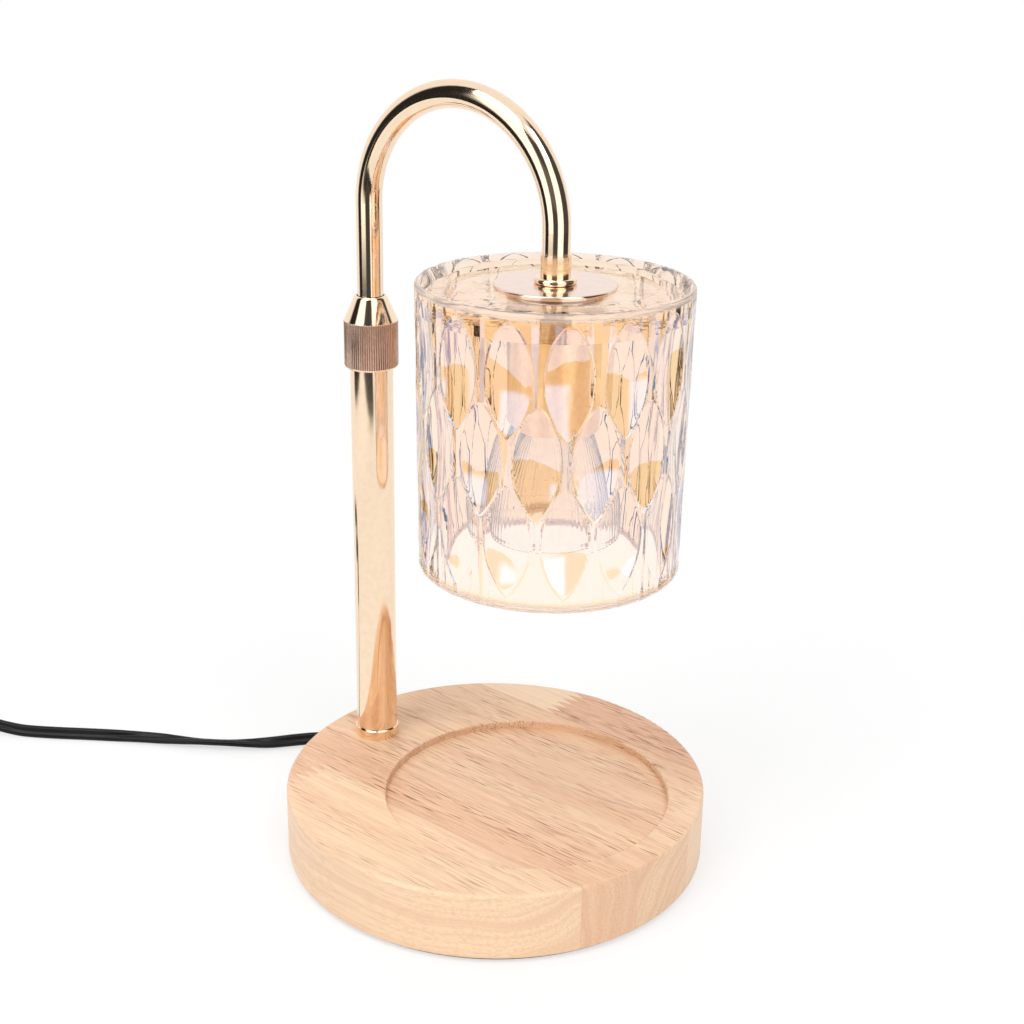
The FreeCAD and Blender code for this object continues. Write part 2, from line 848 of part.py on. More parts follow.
def make_neck():
    """Sleeve, flange and disc on the arm's end, on one hollow stud with its nut inside the shade."""
    sleeve = TUBE_GRIP + s.sleeve_wall
    turned(
        "neck_sleeve",
        [
            (STUD_HOLE, FLANGE_TOP),
            (sleeve, FLANGE_TOP),
            (sleeve, SLEEVE_TOP),
            (TUBE_GRIP, SLEEVE_TOP),
            (TUBE_GRIP, TUBE_END - s.press_gap),
            (STUD_HOLE, TUBE_END - s.press_gap),
        ],
        x=SHADE_X,
    )
    flange = turned("neck_flange", ring_points(s.flange_radius, STUD_HOLE, DISC_TOP, FLANGE_TOP), x=SHADE_X)
    dress(
        flange,
        "Fillet",
        "flange_edges",
        any_of(rim(s.flange_radius, DISC_TOP), rim(s.flange_radius, FLANGE_TOP)),
        s.flange_thick * 0.4,
    )
    disc = turned("top_disc", ring_points(s.disc_radius, STUD_HOLE, GLASS_SEAT, DISC_TOP), x=SHADE_X)
    dress(disc, "Fillet", "disc_edge", rim(s.disc_radius, DISC_TOP), s.disc_thick * 0.5)
    stud_top = TUBE_END + s.stud_into_tube
    turned("neck_stud", ring_points(STUD_RADIUS, s.stud_bore, STUD_LOW, stud_top), x=SHADE_X)
    turned("shade_gasket", ring_points(s.gasket_radius, STUD_HOLE, CUP_TOP, CROWN_LOW), x=SHADE_X)
    nut = new_body("neck_nut")
    hexagon(nut, "neck_nut_prism", s.neck_nut_flats, NECK_NUT_LOW, BRACKET_LOW)
    bore = STUD_RADIUS + s.press_gap
    solid(nut, "SubtractiveCylinder", "neck_nut_bore", z=NECK_NUT_LOW, Radius=bore, Height=s.neck_nut_thick)
    place(nut, x=SHADE_X)


def make_shade():
    """Moulded glass cup, open below: thick crown with a sunk seat, and three staggered rows of
    leaf-shaped scoops, each row half a step round from the next."""
    body = new_body("glass_shade")
    taper = (s.shade_top_radius - s.shade_foot_radius) / s.shade_high
    inner_top = s.shade_top_radius - taper * (SHADE_TOP - CROWN_LOW) - s.glass_wall
    turn_section(
        body,
        "shade_turning",
        [
            (s.shade_foot_radius - s.glass_wall, SHADE_LOW),
            (s.shade_foot_radius, SHADE_LOW),
            (s.shade_top_radius, SHADE_TOP),
            (s.crown_radius, SHADE_TOP),
            (s.crown_radius, GLASS_SEAT),
            (STUD_HOLE, GLASS_SEAT),
            (STUD_HOLE, CROWN_LOW),
            (inner_top, CROWN_LOW),
        ],
    )
    rims = any_of(rim(s.shade_foot_radius, SHADE_LOW), rim(s.shade_top_radius, SHADE_TOP))
    dress(body, "Fillet", "glass_edges", rims, s.glass_round)
    half_step = size(180) / s.facet_count
    scoops = []
    for row in range(FACET_ROWS):
        height = SHADE_TOP - s.facet_first - s.facet_row * row
        surface = s.shade_top_radius - taper * (SHADE_TOP - height)
        scoops.append(scoop(body, f"scoop_{row + 1}", surface, height, half_step if row % 2 else None))
    pattern = body.newObject("PartDesign::PolarPattern", "scoop_rounds")
    pattern.Originals = scoops
    pattern.Axis = (plane(body, "Z_Axis"), [""])
    pattern.Angle = 360
    bind(pattern, "Occurrences", s.facet_count)
    body.Tip = pattern
    place(body, x=SHADE_X, turn=s.facet_turn)


def scoop(body, name, surface, height, turn):
    """One scoop: a shallow barrel, upright and outside the glass, that bites facet_depth into it."""
    axis = surface - s.facet_depth + s.facet_across
    half = s.facet_reach
    sketch = new_sketch(body, f"{name}_section")
    if turn:
        sketch.AttachmentOffset = Placement(Vector(0, 0, 0), Rotation(Vector(0, 1, 0), turn.value))
        bind(sketch, "AttachmentOffset.Rotation.Angle", turn)
    belly = axis - s.facet_across
    bulge = s.facet_along - root(s.facet_along * s.facet_along - half * half)
    draw_outline(
        sketch,
        [
            (belly + bulge, height + half, s.facet_along),
            (belly + bulge, height - half),
            (axis, height - half),
            (axis, height + half),
        ],
    )
    groove = body.newObject("PartDesign::Groove", name)
    groove.Profile = sketch
    groove.ReferenceAxis = (sketch, ["Edge3"])
    groove.Angle = 360
    return groove


# ---------------------------------------------------------------- lamp holder and bulb


def make_holder():
    """Brass cup, the bracket that hangs the ceramic holder in it, and the holder's contacts."""
    inner = s.cup_radius - s.cup_wall
    cup = turned(
        "holder_cup",
        [
            (STUD_HOLE, BRACKET_TOP),
            (inner, BRACKET_TOP),
            (inner, CUP_LOW),
            (s.cup_radius, CUP_LOW),
            (s.cup_radius, CUP_TOP),
            (STUD_HOLE, CUP_TOP),
        ],
        x=SHADE_X,
    )
    dress(cup, "Fillet", "cup_shoulder", rim(s.cup_radius, CUP_TOP), s.cup_wall * 0.9)
    bracket = new_body("holder_bracket")
    leg = s.holder_radius + s.running_gap
    half = leg + s.bracket_thick
    solid(
        bracket,
        "AdditiveBox",
        "bracket_plate",
        x=-half,
        y=-s.bracket_wide / 2,
        z=BRACKET_LOW,
        Length=half * 2,
        Width=s.bracket_wide,
        Height=s.bracket_thick,
    )
    leg_low = BRACKET_TOP - s.bracket_drop
    for side, name in ((-half, "bracket_leg_a"), (leg, "bracket_leg_b")):
        solid(
            bracket,
            "AdditiveBox",
            name,
            x=side,
            y=-s.bracket_wide / 2,
            z=leg_low,
            Length=s.bracket_thick,
            Width=s.bracket_wide,
            Height=s.bracket_drop,
        )
    cut = "SubtractiveCylinder"
    solid(bracket, cut, "bracket_hole", z=BRACKET_LOW, Radius=STUD_HOLE, Height=s.bracket_thick)
    screw_height = leg_low + s.bracket_wide / 4
    crosswise(bracket, cut, "bracket_drill", -half, screw_height, s.screw_radius, half * 2)
    place(bracket, x=SHADE_X)
    holder = turned("lamp_holder", disc_points(s.holder_radius, HOLDER_LOW, HOLDER_TOP), x=SHADE_X)
    for side, name in ((-0.5, "slot_a"), (0.5, "slot_b")):
        solid(
            holder,
            "SubtractiveCylinder",
            name,
            x=side * s.pin_pitch,
            z=HOLDER_LOW,
            Radius=s.slot_radius,
            Height=s.slot_depth,
        )
    drill = s.screw_radius + s.press_gap
    for start, name in ((-s.holder_radius, "drill_a"), (s.holder_radius - s.screw_long, "drill_b")):
        crosswise(holder, cut, name, start, screw_height, drill, s.screw_long)
    make_bracket_screws(half, screw_height)
    contact_low = HOLDER_LOW + s.slot_depth - s.contact_thick
    contacts = []
    for side, name in ((-0.5, "contact_a"), (0.5, "contact_b")):
        x = SHADE_X + side * s.pin_pitch
        contacts.append(cylinder(name, s.contact_radius, s.contact_thick, x, None, contact_low))
    group("holder_contacts", contacts)


def crosswise(body, kind, name, start, height, radius, long):
    """A cylinder along +X from start, at that height."""
    rod = body.newObject(f"PartDesign::{kind}", name)
    rod.AttachmentSupport = [(plane(body, "XY_Plane"), "")]
    rod.MapMode = "FlatFace"
    rod.AttachmentOffset = Placement(Vector(0, 0, 0), Rotation(Vector(0, 1, 0), 90))
    bind(rod, "AttachmentOffset.Base.x", start)
    bind(rod, "AttachmentOffset.Base.z", height)
    bind(rod, "Radius", radius)
    bind(rod, "Height", long)
    return rod


def make_bracket_screws(half, height):
    """Two screws through the bracket's legs into the ceramic."""
    screws = []
    shank = s.screw_long - s.free_gap + s.bracket_thick
    for side, name in ((1, "bracket_screw_a"), (-1, "bracket_screw_b")):
        parts = []
        for radius, long, start, tag in (
            (s.screw_radius - s.press_gap, shank, half - shank, "shank"),
            (s.screw_head_radius, s.screw_head_high, half, "head"),
        ):
            rod = doc.addObject("Part::Cylinder", f"{name}_{tag}")
            bind(rod, "Radius", radius)
            bind(rod, "Height", long)
            rod.Placement = Placement(Vector(0, 0, 0), Rotation(Vector(0, 1, 0), 90 * side))
            bind(rod, "Placement.Base.x", SHADE_X + side * start)
            bind(rod, "Placement.Base.z", height)
            parts.append(rod)
        screw = doc.addObject("Part::MultiFuse", name)
        screw.Shapes = parts
        screws.append(screw)
    group("bracket_screws", screws)


def make_bulb():
    """Reflector bulb: glass reflector, front lens, foot with two pins, and the burner inside."""
    inner = s.bulb_radius - s.bulb_wall
    neck = s.bulb_neck_radius - s.bulb_wall
    turned(
        "bulb_reflector",
        [
            (inner, BULB_LOW),
            (s.bulb_radius, BULB_LOW),
            (s.bulb_radius, RIM_TOP, s.bulb_curve),
            (s.bulb_neck_radius, NECK_HEIGHT),
            (neck, NECK_HEIGHT, -s.bulb_curve),
            (inner, RIM_TOP),
        ],
        x=SHADE_X,
    )
    lens = inner - s.press_gap
    lens_low = BULB_LOW + s.lens_inset
    turned("bulb_lens", disc_points(lens, lens_low, lens_low + s.lens_thick), x=SHADE_X)
    turned("bulb_foot", disc_points(s.bulb_neck_radius, NECK_HEIGHT, BULB_TOP), x=SHADE_X)
    capsule_low = NECK_HEIGHT - s.capsule_high
    capsule = turned("bulb_capsule", disc_points(s.capsule_radius, capsule_low, NECK_HEIGHT), x=SHADE_X)
    tip = rim(s.capsule_radius, capsule_low)
    dress(capsule, "Fillet", "capsule_tip", tip, s.capsule_radius * CAPSULE_TIP)
    pins = []
    for side, name in ((-0.5, "pin_a"), (0.5, "pin_b")):
        x = SHADE_X + side * s.pin_pitch
        pins.append(cylinder(name, s.pin_radius, s.pin_long, x, None, BULB_TOP))
    group("bulb_pins", pins)


# ---------------------------------------------------------------- leads and cord


def route_wire(name, points):
    """Straight runs joined by the largest arcs that the runs allow."""
    edges = []
    start = points[0]
    radii = []
    for before, corner, after in zip(points, points[1:], points[2:]):
        inward = (corner - before).normalize()
        outward = (after - corner).normalize()
        half = inward.getAngle(outward) / 2
        cut = ARC_SHARE * min((corner - before).Length, (after - corner).Length)
        radius = cut / math.tan(half)
        radii.append(round(radius, 1))
        first = corner - inward * cut
        last = corner + outward * cut
        middle = corner + (outward - inward).normalize() * (radius / math.cos(half) - radius)
        edges.append(Part.LineSegment(start, first).toShape())
        edges.append(Part.Arc(first, middle, last).toShape())
        start = last
    edges.append(Part.LineSegment(start, points[-1]).toShape())
    wire = Part.Wire(edges)
    print(f"{name}: length {wire.Length:.1f}, radii {radii}")
    return wire


def cord_tube(label, radius, points):
    """A round tube along a route of straight runs and arcs."""
    points = [Vector(*point) for point in points]
    wire = route_wire(label, points)
    section = Part.Wire(Part.makeCircle(radius, points[0], points[1] - points[0]))
    tube = wire.makePipeShell([section], True, False)
    expected = math.pi * radius**2 * wire.Length
    if abs(tube.Volume / expected - 1) > VOLUME_SLACK:
        raise ValueError(f"{label} has volume {tube.Volume:.1f}, not {expected:.1f}")
    piece = doc.addObject("Part::Feature", label)
    piece.Shape = tube
    return keep(piece, label)


def make_leads():
    """The lead inside the base and pole, and the free cord in its three open stretches."""
    height = s.lead_height.value
    turn = math.radians(s.exit_turn.value)
    out = Vector(math.cos(turn), math.sin(turn), 0)
    mouth = out * (s.base_radius.value + s.grommet_outside.value)
    pole = s.pole_x.value
    inlet = out * (s.base_radius.value - s.groove_run.value)
    cord_tube(
        "base_lead",
        s.lead_radius.value,
        [
            (mouth.x, mouth.y, height),
            (inlet.x, inlet.y, height),
            (pole, 0, height),
            (pole, 0, s.lead_top.value),
        ],
    )
    cord = s.cord_radius.value
    cord_tube(
        "lamp_cord",
        cord,
        [
            (mouth.x, mouth.y, height),
            (-92.3, 16.3, 4.5),
            (-102.9, 13.1, 4.0),
            (-111.3, 5.9, 3.3),
            (-121.2, -4.6, cord),
            (-141.4, -19.0, cord),
            (-163.2, -30.4, cord),
            (-183.4, -42.8, cord),
            (-203.0, -54.4, cord),
            (-214.6, -61.5, 4.4),
            (-225.2, -68.3, 6.0),
        ],
    )
    cord_tube(
        "plug_cord",
        cord,
        [
            (-299.8, -114.9, 6.0),
            (-309.1, -120.7, 4.6),
            (-322.9, -122.9, cord),
            (-336.4, -119.0, cord),
            (-347.9, -111.0, cord),
            (-356.4, -101.2, 3.4),
        ],
    )
    cord_tube(
        "plug_tail",
        cord,
        [
            (-362.0, -88.7, 6.2),
            (-364.8, -75.0, 6.8),
            (-366.0, -62.0, 7.0),
        ],
    )


# ---------------------------------------------------------------- dimmer, coil and plug


def rounded_block(body, name, long, wide, low, high, corner, kind="PartDesign::Pad"):
    """A block about the body's origin, long along X, with rounded upright corners."""
    sketch = new_sketch(body, f"{name}_outline", "XY_Plane")
    bind(sketch, "AttachmentOffset.Base.z", low)
    x = long / 2
    y = wide / 2
    draw_outline(
        sketch,
        [
            (-x + corner, -y),
            (x - corner, -y, corner),
            (x, -y + corner),
            (x, y - corner, corner),
            (x - corner, y),
            (-x + corner, y, corner),
            (-x, y - corner),
            (-x, -y + corner, corner),
        ],
    )
    block = body.newObject(kind, name)
    block.Profile = sketch
    bind(block, "Length", high - low)
    if kind == "PartDesign::Pocket":
        block.Reversed = True
    return block


def on_dimmer(thing, x=0, y=0):
    """Places an object in the dimmer's own frame."""
    x = size(x)
    y = size(y)
    place(
        thing,
        x=s.dimmer_x + x * cosine(s.dimmer_turn) - y * sine(s.dimmer_turn),
        y=s.dimmer_y + x * sine(s.dimmer_turn) + y * cosine(s.dimmer_turn),
        turn=s.dimmer_turn,
    )


def make_dimmer():
    """Rotary dimmer in a two-part case on the cord."""
    low = s.dimmer_low_high
    top = low + s.dimmer_top_high
    wall = s.dimmer_wall
    room_long = s.dimmer_long - wall * 2
    room_wide = s.dimmer_wide - wall * 2
    inside = s.dimmer_corner - wall
    drill = s.screw_radius + s.press_gap
    sides = ((-0.5, "a"), (0.5, "b"))

    case = new_body("dimmer_base")
    rounded_block(case, "base_block", s.dimmer_long, s.dimmer_wide, size(0), low, s.dimmer_corner)
    dress(case, "Fillet", "base_case_edge", lambda edge: level(edge, 0), s.dimmer_edge)
    rounded_block(case, "base_room", room_long, room_wide, wall, low, inside, "PartDesign::Pocket")
    for side, tag in sides:
        x = side * s.dimmer_screw_pitch
        rest = side * s.rest_pitch - s.rest_thick / 2
        wide = s.board_wide
        high = low - wall
        solid(case, "AdditiveCylinder", f"base_boss_{tag}", x=x, z=wall, Radius=s.boss_radius, Height=high)
        solid(case, "SubtractiveCylinder", f"base_drill_{tag}", x=x, Radius=drill, Height=low)
        solid(
            case,
            "SubtractiveCylinder",
            f"base_sink_{tag}",
            x=x,
            Radius=s.screw_head_radius + s.hole_gap,
            Height=s.screw_head_high + s.hole_gap,
        )
        solid(
            case,
            "AdditiveBox",
            f"board_rest_{tag}",
            x=rest,
            y=-wide / 2,
            z=wall,
            Length=s.rest_thick,
            Width=wide,
            Height=s.board_height - wall,
        )

    cover = new_body("dimmer_cover")
    rounded_block(cover, "cover_block", s.dimmer_long, s.dimmer_wide, low, top, s.dimmer_corner)
    dress(cover, "Fillet", "cover_case_edge", lambda edge: level(edge, top), s.dimmer_edge)
    rounded_block(cover, "cover_room", room_long, room_wide, low, top - wall, inside, "PartDesign::Pocket")
    thread_top = s.screw_head_high + s.dimmer_screw_long
    for side, tag in sides:
        x = side * s.dimmer_screw_pitch
        high = s.dimmer_top_high - wall
        solid(cover, "AdditiveCylinder", f"cover_boss_{tag}", x=x, z=low, Radius=s.boss_radius, Height=high)
        depth = thread_top - low
        solid(cover, "SubtractiveCylinder", f"cover_drill_{tag}", x=x, z=low, Radius=drill, Height=depth)
    well = s.dial_radius + s.free_gap
    solid(cover, "SubtractiveCylinder", "dial_well", z=top - s.dial_sunk, Radius=well, Height=s.dial_sunk)
    hole = s.shaft_radius + s.running_gap
    solid(cover, "SubtractiveCylinder", "shaft_hole", z=low, Radius=hole, Height=s.dimmer_top_high)

    board = new_body("dimmer_board")
    flat_block(board, "board_plate", s.board_long, s.board_wide, s.board_height, s.board_thick)
    pot = new_body("dimmer_pot")
    pot_low = s.board_height + s.board_thick
    flat_block(pot, "pot_block", s.pot_wide, s.pot_wide, pot_low, s.pot_high)

    dial = new_body("dimmer_dial")
    dial_low = top - s.dial_sunk + s.dial_lift
    dial_top = dial_low + s.dial_high
    turn_section(dial, "dial_turning", disc_points(s.dial_radius, dial_low, dial_top))
    dress(dial, "Fillet", "dial_edge", rim(s.dial_radius, dial_top), s.dial_round)
    shaft = new_body("dimmer_shaft")
    shaft_low = pot_low + s.pot_high + s.free_gap
    turn_section(shaft, "shaft_turning", disc_points(s.shaft_radius, shaft_low, dial_low))
    for piece in (case, cover, board, pot, dial, shaft):
        on_dimmer(piece)

    screws = []
    for side, tag in sides:
        x = side * s.dimmer_screw_pitch
        shank = cylinder(f"dimmer_shank_{tag}", s.screw_radius, s.dimmer_screw_long)
        on_dimmer(shank, x)
        bind(shank, "Placement.Base.z", s.screw_head_high)
        head = cylinder(f"dimmer_head_{tag}", s.screw_head_radius, s.screw_head_high)
        on_dimmer(head, x)
        screw = doc.addObject("Part::MultiFuse", f"dimmer_screw_{tag}")
        screw.Shapes = [shank, head]
        screws.append(screw)
    group("dimmer_screws", screws)

    reliefs = []
    for way, tag in ((1, "out"), (-1, "in")):
        cone = relief_cone(f"dimmer_relief_{tag}", s.relief_root)
        cone.Placement = Placement(Vector(0, 0, 0), lying(s.dimmer_turn, way))
        start = way * (s.dimmer_long / 2)
        bind(cone, "Placement.Base.x", s.dimmer_x + start * cosine(s.dimmer_turn))
        bind(cone, "Placement.Base.y", s.dimmer_y + start * sine(s.dimmer_turn))
        bind(cone, "Placement.Base.z", s.dimmer_axis)
        reliefs.append(cone)
    group("dimmer_reliefs", reliefs)


def flat_block(body, name, long, wide, low, high):
    """A plain block centred on the body's axis."""
    corner = {"x": -long / 2, "y": -wide / 2, "z": low}
    solid(body, "AdditiveBox", name, Length=long, Width=wide, Height=high, **corner)


def relief_cone(name, root_radius):
    """A strain relief that tapers down to the cord."""
    cone = doc.addObject("Part::Cone", name)
    bind(cone, "Radius1", root_radius)
    bind(cone, "Radius2", s.cord_radius + s.free_gap)
    bind(cone, "Height", s.relief_long)
    return cone


def lying(turn, way):
    """Lays an upright piece along the direction turn, or against it where way is -1."""
    return Rotation(Vector(0, 0, 1), turn.value) * Rotation(Vector(0, 1, 0), 90 * way)


def make_coil():
    """The wound length of cord as one ring, and the tie around it."""
    low = s.tie_thick
    high = low + s.coil_high
    outer = s.coil_radius
    inner = outer - s.coil_wide
    coil = turned("cord_coil", ring_points(outer, inner, low, high))
    rims = any_of(rim(outer, low), rim(outer, high), rim(inner, low), rim(inner, high))
    dress(coil, "Fillet", "coil_edges", rims, s.coil_round)
    place(coil, x=s.coil_x, y=s.coil_y)
    tie = new_body("coil_tie")
    room_start = inner - s.free_gap
    room_wide = s.coil_wide + s.free_gap * 2
    room_high = high + s.free_gap
    start = room_start - s.tie_thick
    wide = room_wide + s.tie_thick * 2
    bar(tie, "AdditiveBox", "tie_block", start, size(0), wide, s.tie_wide, size(0), room_high + s.tie_thick)
    bar(tie, "SubtractiveBox", "tie_room", room_start, size(0), room_wide, s.tie_wide, low, room_high)
    place(tie, x=s.coil_x, y=s.coil_y, turn=s.tie_turn)


def make_plug():
    """Two-blade plug lying beside the coil, its moulded relief towards the cord."""
    middle = s.plug_high / 2
    body = new_body("plug_body")
    flat_block(body, "plug_block", s.plug_long, s.plug_wide, size(0), s.plug_high)
    lengthwise = s.plug_long.value - LENGTH_SLACK
    dress(body, "Fillet", "plug_edges", lambda edge: edge.BoundBox.XLength > lengthwise, s.plug_round)
    on_plug(body, 0, 0)
    relief = relief_cone("plug_relief", s.plug_relief_root)
    relief.Placement = Placement(Vector(0, 0, 0), lying(s.plug_turn, -1))
    start = -s.plug_long / 2
    bind(relief, "Placement.Base.x", s.plug_x + start * cosine(s.plug_turn))
    bind(relief, "Placement.Base.y", s.plug_y + start * sine(s.plug_turn))
    bind(relief, "Placement.Base.z", middle)
    keep(relief, "plug_relief")
    blades = []
    for side, wide, name in ((0.5, s.blade_wide, "narrow_blade"), (-0.5, s.wide_blade, "wide_blade")):
        blade = doc.addObject("Part::Box", name)
        bind(blade, "Length", s.blade_long)
        bind(blade, "Width", s.blade_thick)
        bind(blade, "Height", wide)
        on_plug(blade, s.plug_long / 2, side * s.blade_pitch - s.blade_thick / 2)
        bind(blade, "Placement.Base.z", middle - wide / 2)
        blades.append(blade)
    group("plug_blades", blades)


def on_plug(thing, x, y):
    """Places an object in the plug's own frame."""
    x = size(x)
    y = size(y)
    place(
        thing,
        x=s.plug_x + x * cosine(s.plug_turn) - y * sine(s.plug_turn),
        y=s.plug_y + x * sine(s.plug_turn) + y * cosine(s.plug_turn),
        turn=s.plug_turn,
    )


make_wood_base()
make_base_fittings()
make_cord_anchor()
make_pole()
make_lock()
make_arm()
make_neck()
make_shade()
make_holder()
make_bulb()
make_leads()
make_dimmer()
make_coil()
make_plug()

doc.recompute()
faults = [f"{item.Name}: {item.State}" for item in doc.Objects if {"Invalid", "Error"} & set(item.State)]
for item in nodes:
    if item.Shape.isNull() or not item.Shape.isValid():
        faults.append(f"{item.Label}: no valid shape")
if faults:
    raise RuntimeError("; ".join(faults))
os.makedirs("parts", exist_ok=True)
for item in nodes:
    item.Shape.exportStep(f"parts/{item.Label}.step")
    print(f"{item.Label}: {len(item.Shape.Solids)} solids, volume {item.Shape.Volume:.1f}")
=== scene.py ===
"""Candle warmer lamp: finishes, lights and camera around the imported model.

The flat cord, the knurled collar and the pressed glass are this script's own pieces. Metres and degrees in
the frame of the part: the origin is the centre of the base's resting face, +Z is up and +X points from the
pole to the shade.
"""
import json
import math

import bmesh
import bpy
from mathutils import Matrix, Vector


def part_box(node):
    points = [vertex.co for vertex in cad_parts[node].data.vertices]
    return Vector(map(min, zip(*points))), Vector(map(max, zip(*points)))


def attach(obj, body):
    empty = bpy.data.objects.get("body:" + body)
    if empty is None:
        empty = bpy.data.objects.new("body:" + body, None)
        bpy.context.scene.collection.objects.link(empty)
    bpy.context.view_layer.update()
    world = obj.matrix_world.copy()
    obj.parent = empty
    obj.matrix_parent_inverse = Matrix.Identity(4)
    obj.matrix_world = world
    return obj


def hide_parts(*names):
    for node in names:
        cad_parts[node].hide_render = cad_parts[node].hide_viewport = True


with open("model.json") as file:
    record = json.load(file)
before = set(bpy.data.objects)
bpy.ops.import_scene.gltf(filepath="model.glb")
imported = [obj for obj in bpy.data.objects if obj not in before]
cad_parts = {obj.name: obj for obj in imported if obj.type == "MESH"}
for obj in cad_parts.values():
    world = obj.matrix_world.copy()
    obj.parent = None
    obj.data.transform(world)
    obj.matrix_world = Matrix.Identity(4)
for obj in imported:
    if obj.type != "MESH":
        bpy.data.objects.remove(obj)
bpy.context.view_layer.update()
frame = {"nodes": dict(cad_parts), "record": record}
nodes = frame["nodes"]
MM = 0.001

# ---------------------------------------------------------------- places taken from the frame


def middle(node):
    """The centre of a node's box."""
    low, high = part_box(node)
    return (low + high) / 2


POLE = middle("pole")
SHADE = middle("glass_shade")
BULB = middle("bulb_reflector")

# ---------------------------------------------------------------- shader arithmetic


class Value:
    """One socket of a material or of the world, with arithmetic."""

    def __init__(self, finish, socket):
        self.finish = finish
        self.socket = socket

    def maths(self, operation, *terms):
        return self.finish.node("ShaderNodeMath", {"operation": operation}, terms)

    def __add__(self, other):
        return self.maths("ADD", self, other)

    def __radd__(self, other):
        return self.maths("ADD", other, self)

    def __sub__(self, other):
        return self.maths("SUBTRACT", self, other)

    def __rsub__(self, other):
        return self.maths("SUBTRACT", other, self)

    def __mul__(self, other):
        return self.maths("MULTIPLY", self, other)

    def __rmul__(self, other):
        return self.maths("MULTIPLY", other, self)

    def __truediv__(self, other):
        return self.maths("DIVIDE", self, other)

    def __pow__(self, other):
        return self.maths("POWER", self, other)

    def __abs__(self):
        return self.maths("ABSOLUTE", self)

    def fraction(self):
        return self.maths("FRACT", self)

    def sine(self):
        return self.maths("SINE", self)

    def step(self, low, high):
        """0 below low, 1 above high and a smooth rise between."""
        ends = {"Value": self, "From Min": low, "From Max": high}
        return self.finish.node("ShaderNodeMapRange", {"interpolation_type": "SMOOTHSTEP"}, ends)

    def within(self, low, high, soft):
        """1 between low and high, 0 outside, with soft edges."""
        return self.step(low - soft, low + soft) * (1 - self.step(high - soft, high + soft))


class Finish:
    """A node tree under construction: a material's, or the world's."""

    def __init__(self, holder):
        self.holder = holder
        holder.use_nodes = True
        self.tree = holder.node_tree
        self.tree.nodes.clear()

    def node(self, kind, settings=None, inputs=(), output=0):
        """Adds a node. Its settings come first, then a value or a link for each input named."""
        made = self.tree.nodes.new(kind)
        for name, value in (settings or {}).items():
            setattr(made, name, value)
        pairs = inputs.items() if isinstance(inputs, dict) else enumerate(inputs)
        for name, value in pairs:
            if isinstance(value, Value):
                self.tree.links.new(value.socket, made.inputs[name])
            else:
                made.inputs[name].default_value = value
        return Value(self, made.outputs[output] if made.outputs else None)

    def place(self):
        """The point on the surface, in the object's own metres."""
        return self.node("ShaderNodeTexCoord", output="Object")

    def split(self, vector):
        made = self.node("ShaderNodeSeparateXYZ", inputs=(vector,))
        return [Value(self, socket) for socket in made.socket.node.outputs]

    def join(self, x, y, z):
        return self.node("ShaderNodeCombineXYZ", inputs=(x, y, z))

    def mapped(self, vector, turn=0.0, scale=(1, 1, 1), shift=(0, 0, 0)):
        ends = {"Vector": vector, "Rotation": (0, 0, math.radians(turn)), "Scale": scale, "Location": shift}
        return self.node("ShaderNodeMapping", inputs=ends)

    def noise(self, vector, scale, detail=2.0, roughness=0.5):
        ends = {"Vector": vector, "Scale": scale, "Detail": detail, "Roughness": roughness}
        return self.node("ShaderNodeTexNoise", inputs=ends)

    def blend(self, share, first, second):
        """A colour between two colours."""
        settings = {"data_type": "RGBA", "blend_type": "MIX"}
        return self.node("ShaderNodeMix", settings, {0: share, 6: first, 7: second}, output=2)

    def mixed(self, share, first, second):
        """A shader between two shaders."""
        return self.node("ShaderNodeMixShader", inputs=(share, first, second))

    def bump(self, height, distance, strength=1.0):
        ends = {"Height": height, "Distance": distance, "Strength": strength}
        return self.node("ShaderNodeBump", inputs=ends)

    def surface(self, **inputs):
        """The main shader. Underscores in the names stand for spaces."""
        ends = {name.replace("_", " "): value for name, value in inputs.items()}
        return self.node("ShaderNodeBsdfPrincipled", inputs=ends)

    def done(self, shader, volume=None):
        """Links the shaders to the output, and gives back the material or the world."""
        of_world = isinstance(self.holder, bpy.types.World)
        kind = "ShaderNodeOutputWorld" if of_world else "ShaderNodeOutputMaterial"
        ends = {"Surface": shader}
        if volume is not None:
            ends["Volume"] = volume
        self.node(kind, inputs=ends)
        return self.holder


def new_finish(name):
    return Finish(bpy.data.materials.new(name))


def grey(level):
    return (level, level, level, 1)


# ---------------------------------------------------------------- wood

# The board's strips, from the front edge to the back: where each glue line lies across the grain, and for
# each strip the pith of its growth rings (across, height), the place of its finger joint along the grain
# and how rosy, pale and full of pores the wood is before and after the joint
GRAIN_TURN = 3.7
GLUE_LINES = [-0.037, -0.015, 0.017, 0.055]
NO_JOINT = -0.300
STRIPS = [
    dict(pith=(-0.066, 0.064), joint=-0.053, rosy=(0.6, 0.0), pale=(0.0, 0.35), pores=(1.0, 0.55)),
    dict(pith=(-0.077, 0.013), joint=NO_JOINT, rosy=(0.4, 0.55), pale=(0.0, 0.0), pores=(0.9, 0.9)),
    dict(pith=(0.022, -0.006), joint=NO_JOINT, rosy=(0.3, 0.25), pale=(0.2, 0.1), pores=(0.8, 0.8)),
    dict(pith=(0.034, -0.045), joint=0.067, rosy=(0.35, 0.1), pale=(0.1, 0.4), pores=(0.9, 0.5)),
    dict(pith=(0.110, 0.020), joint=-0.014, rosy=(0.0, 1.0), pale=(0.9, 0.0), pores=(0.05, 1.5)),
]
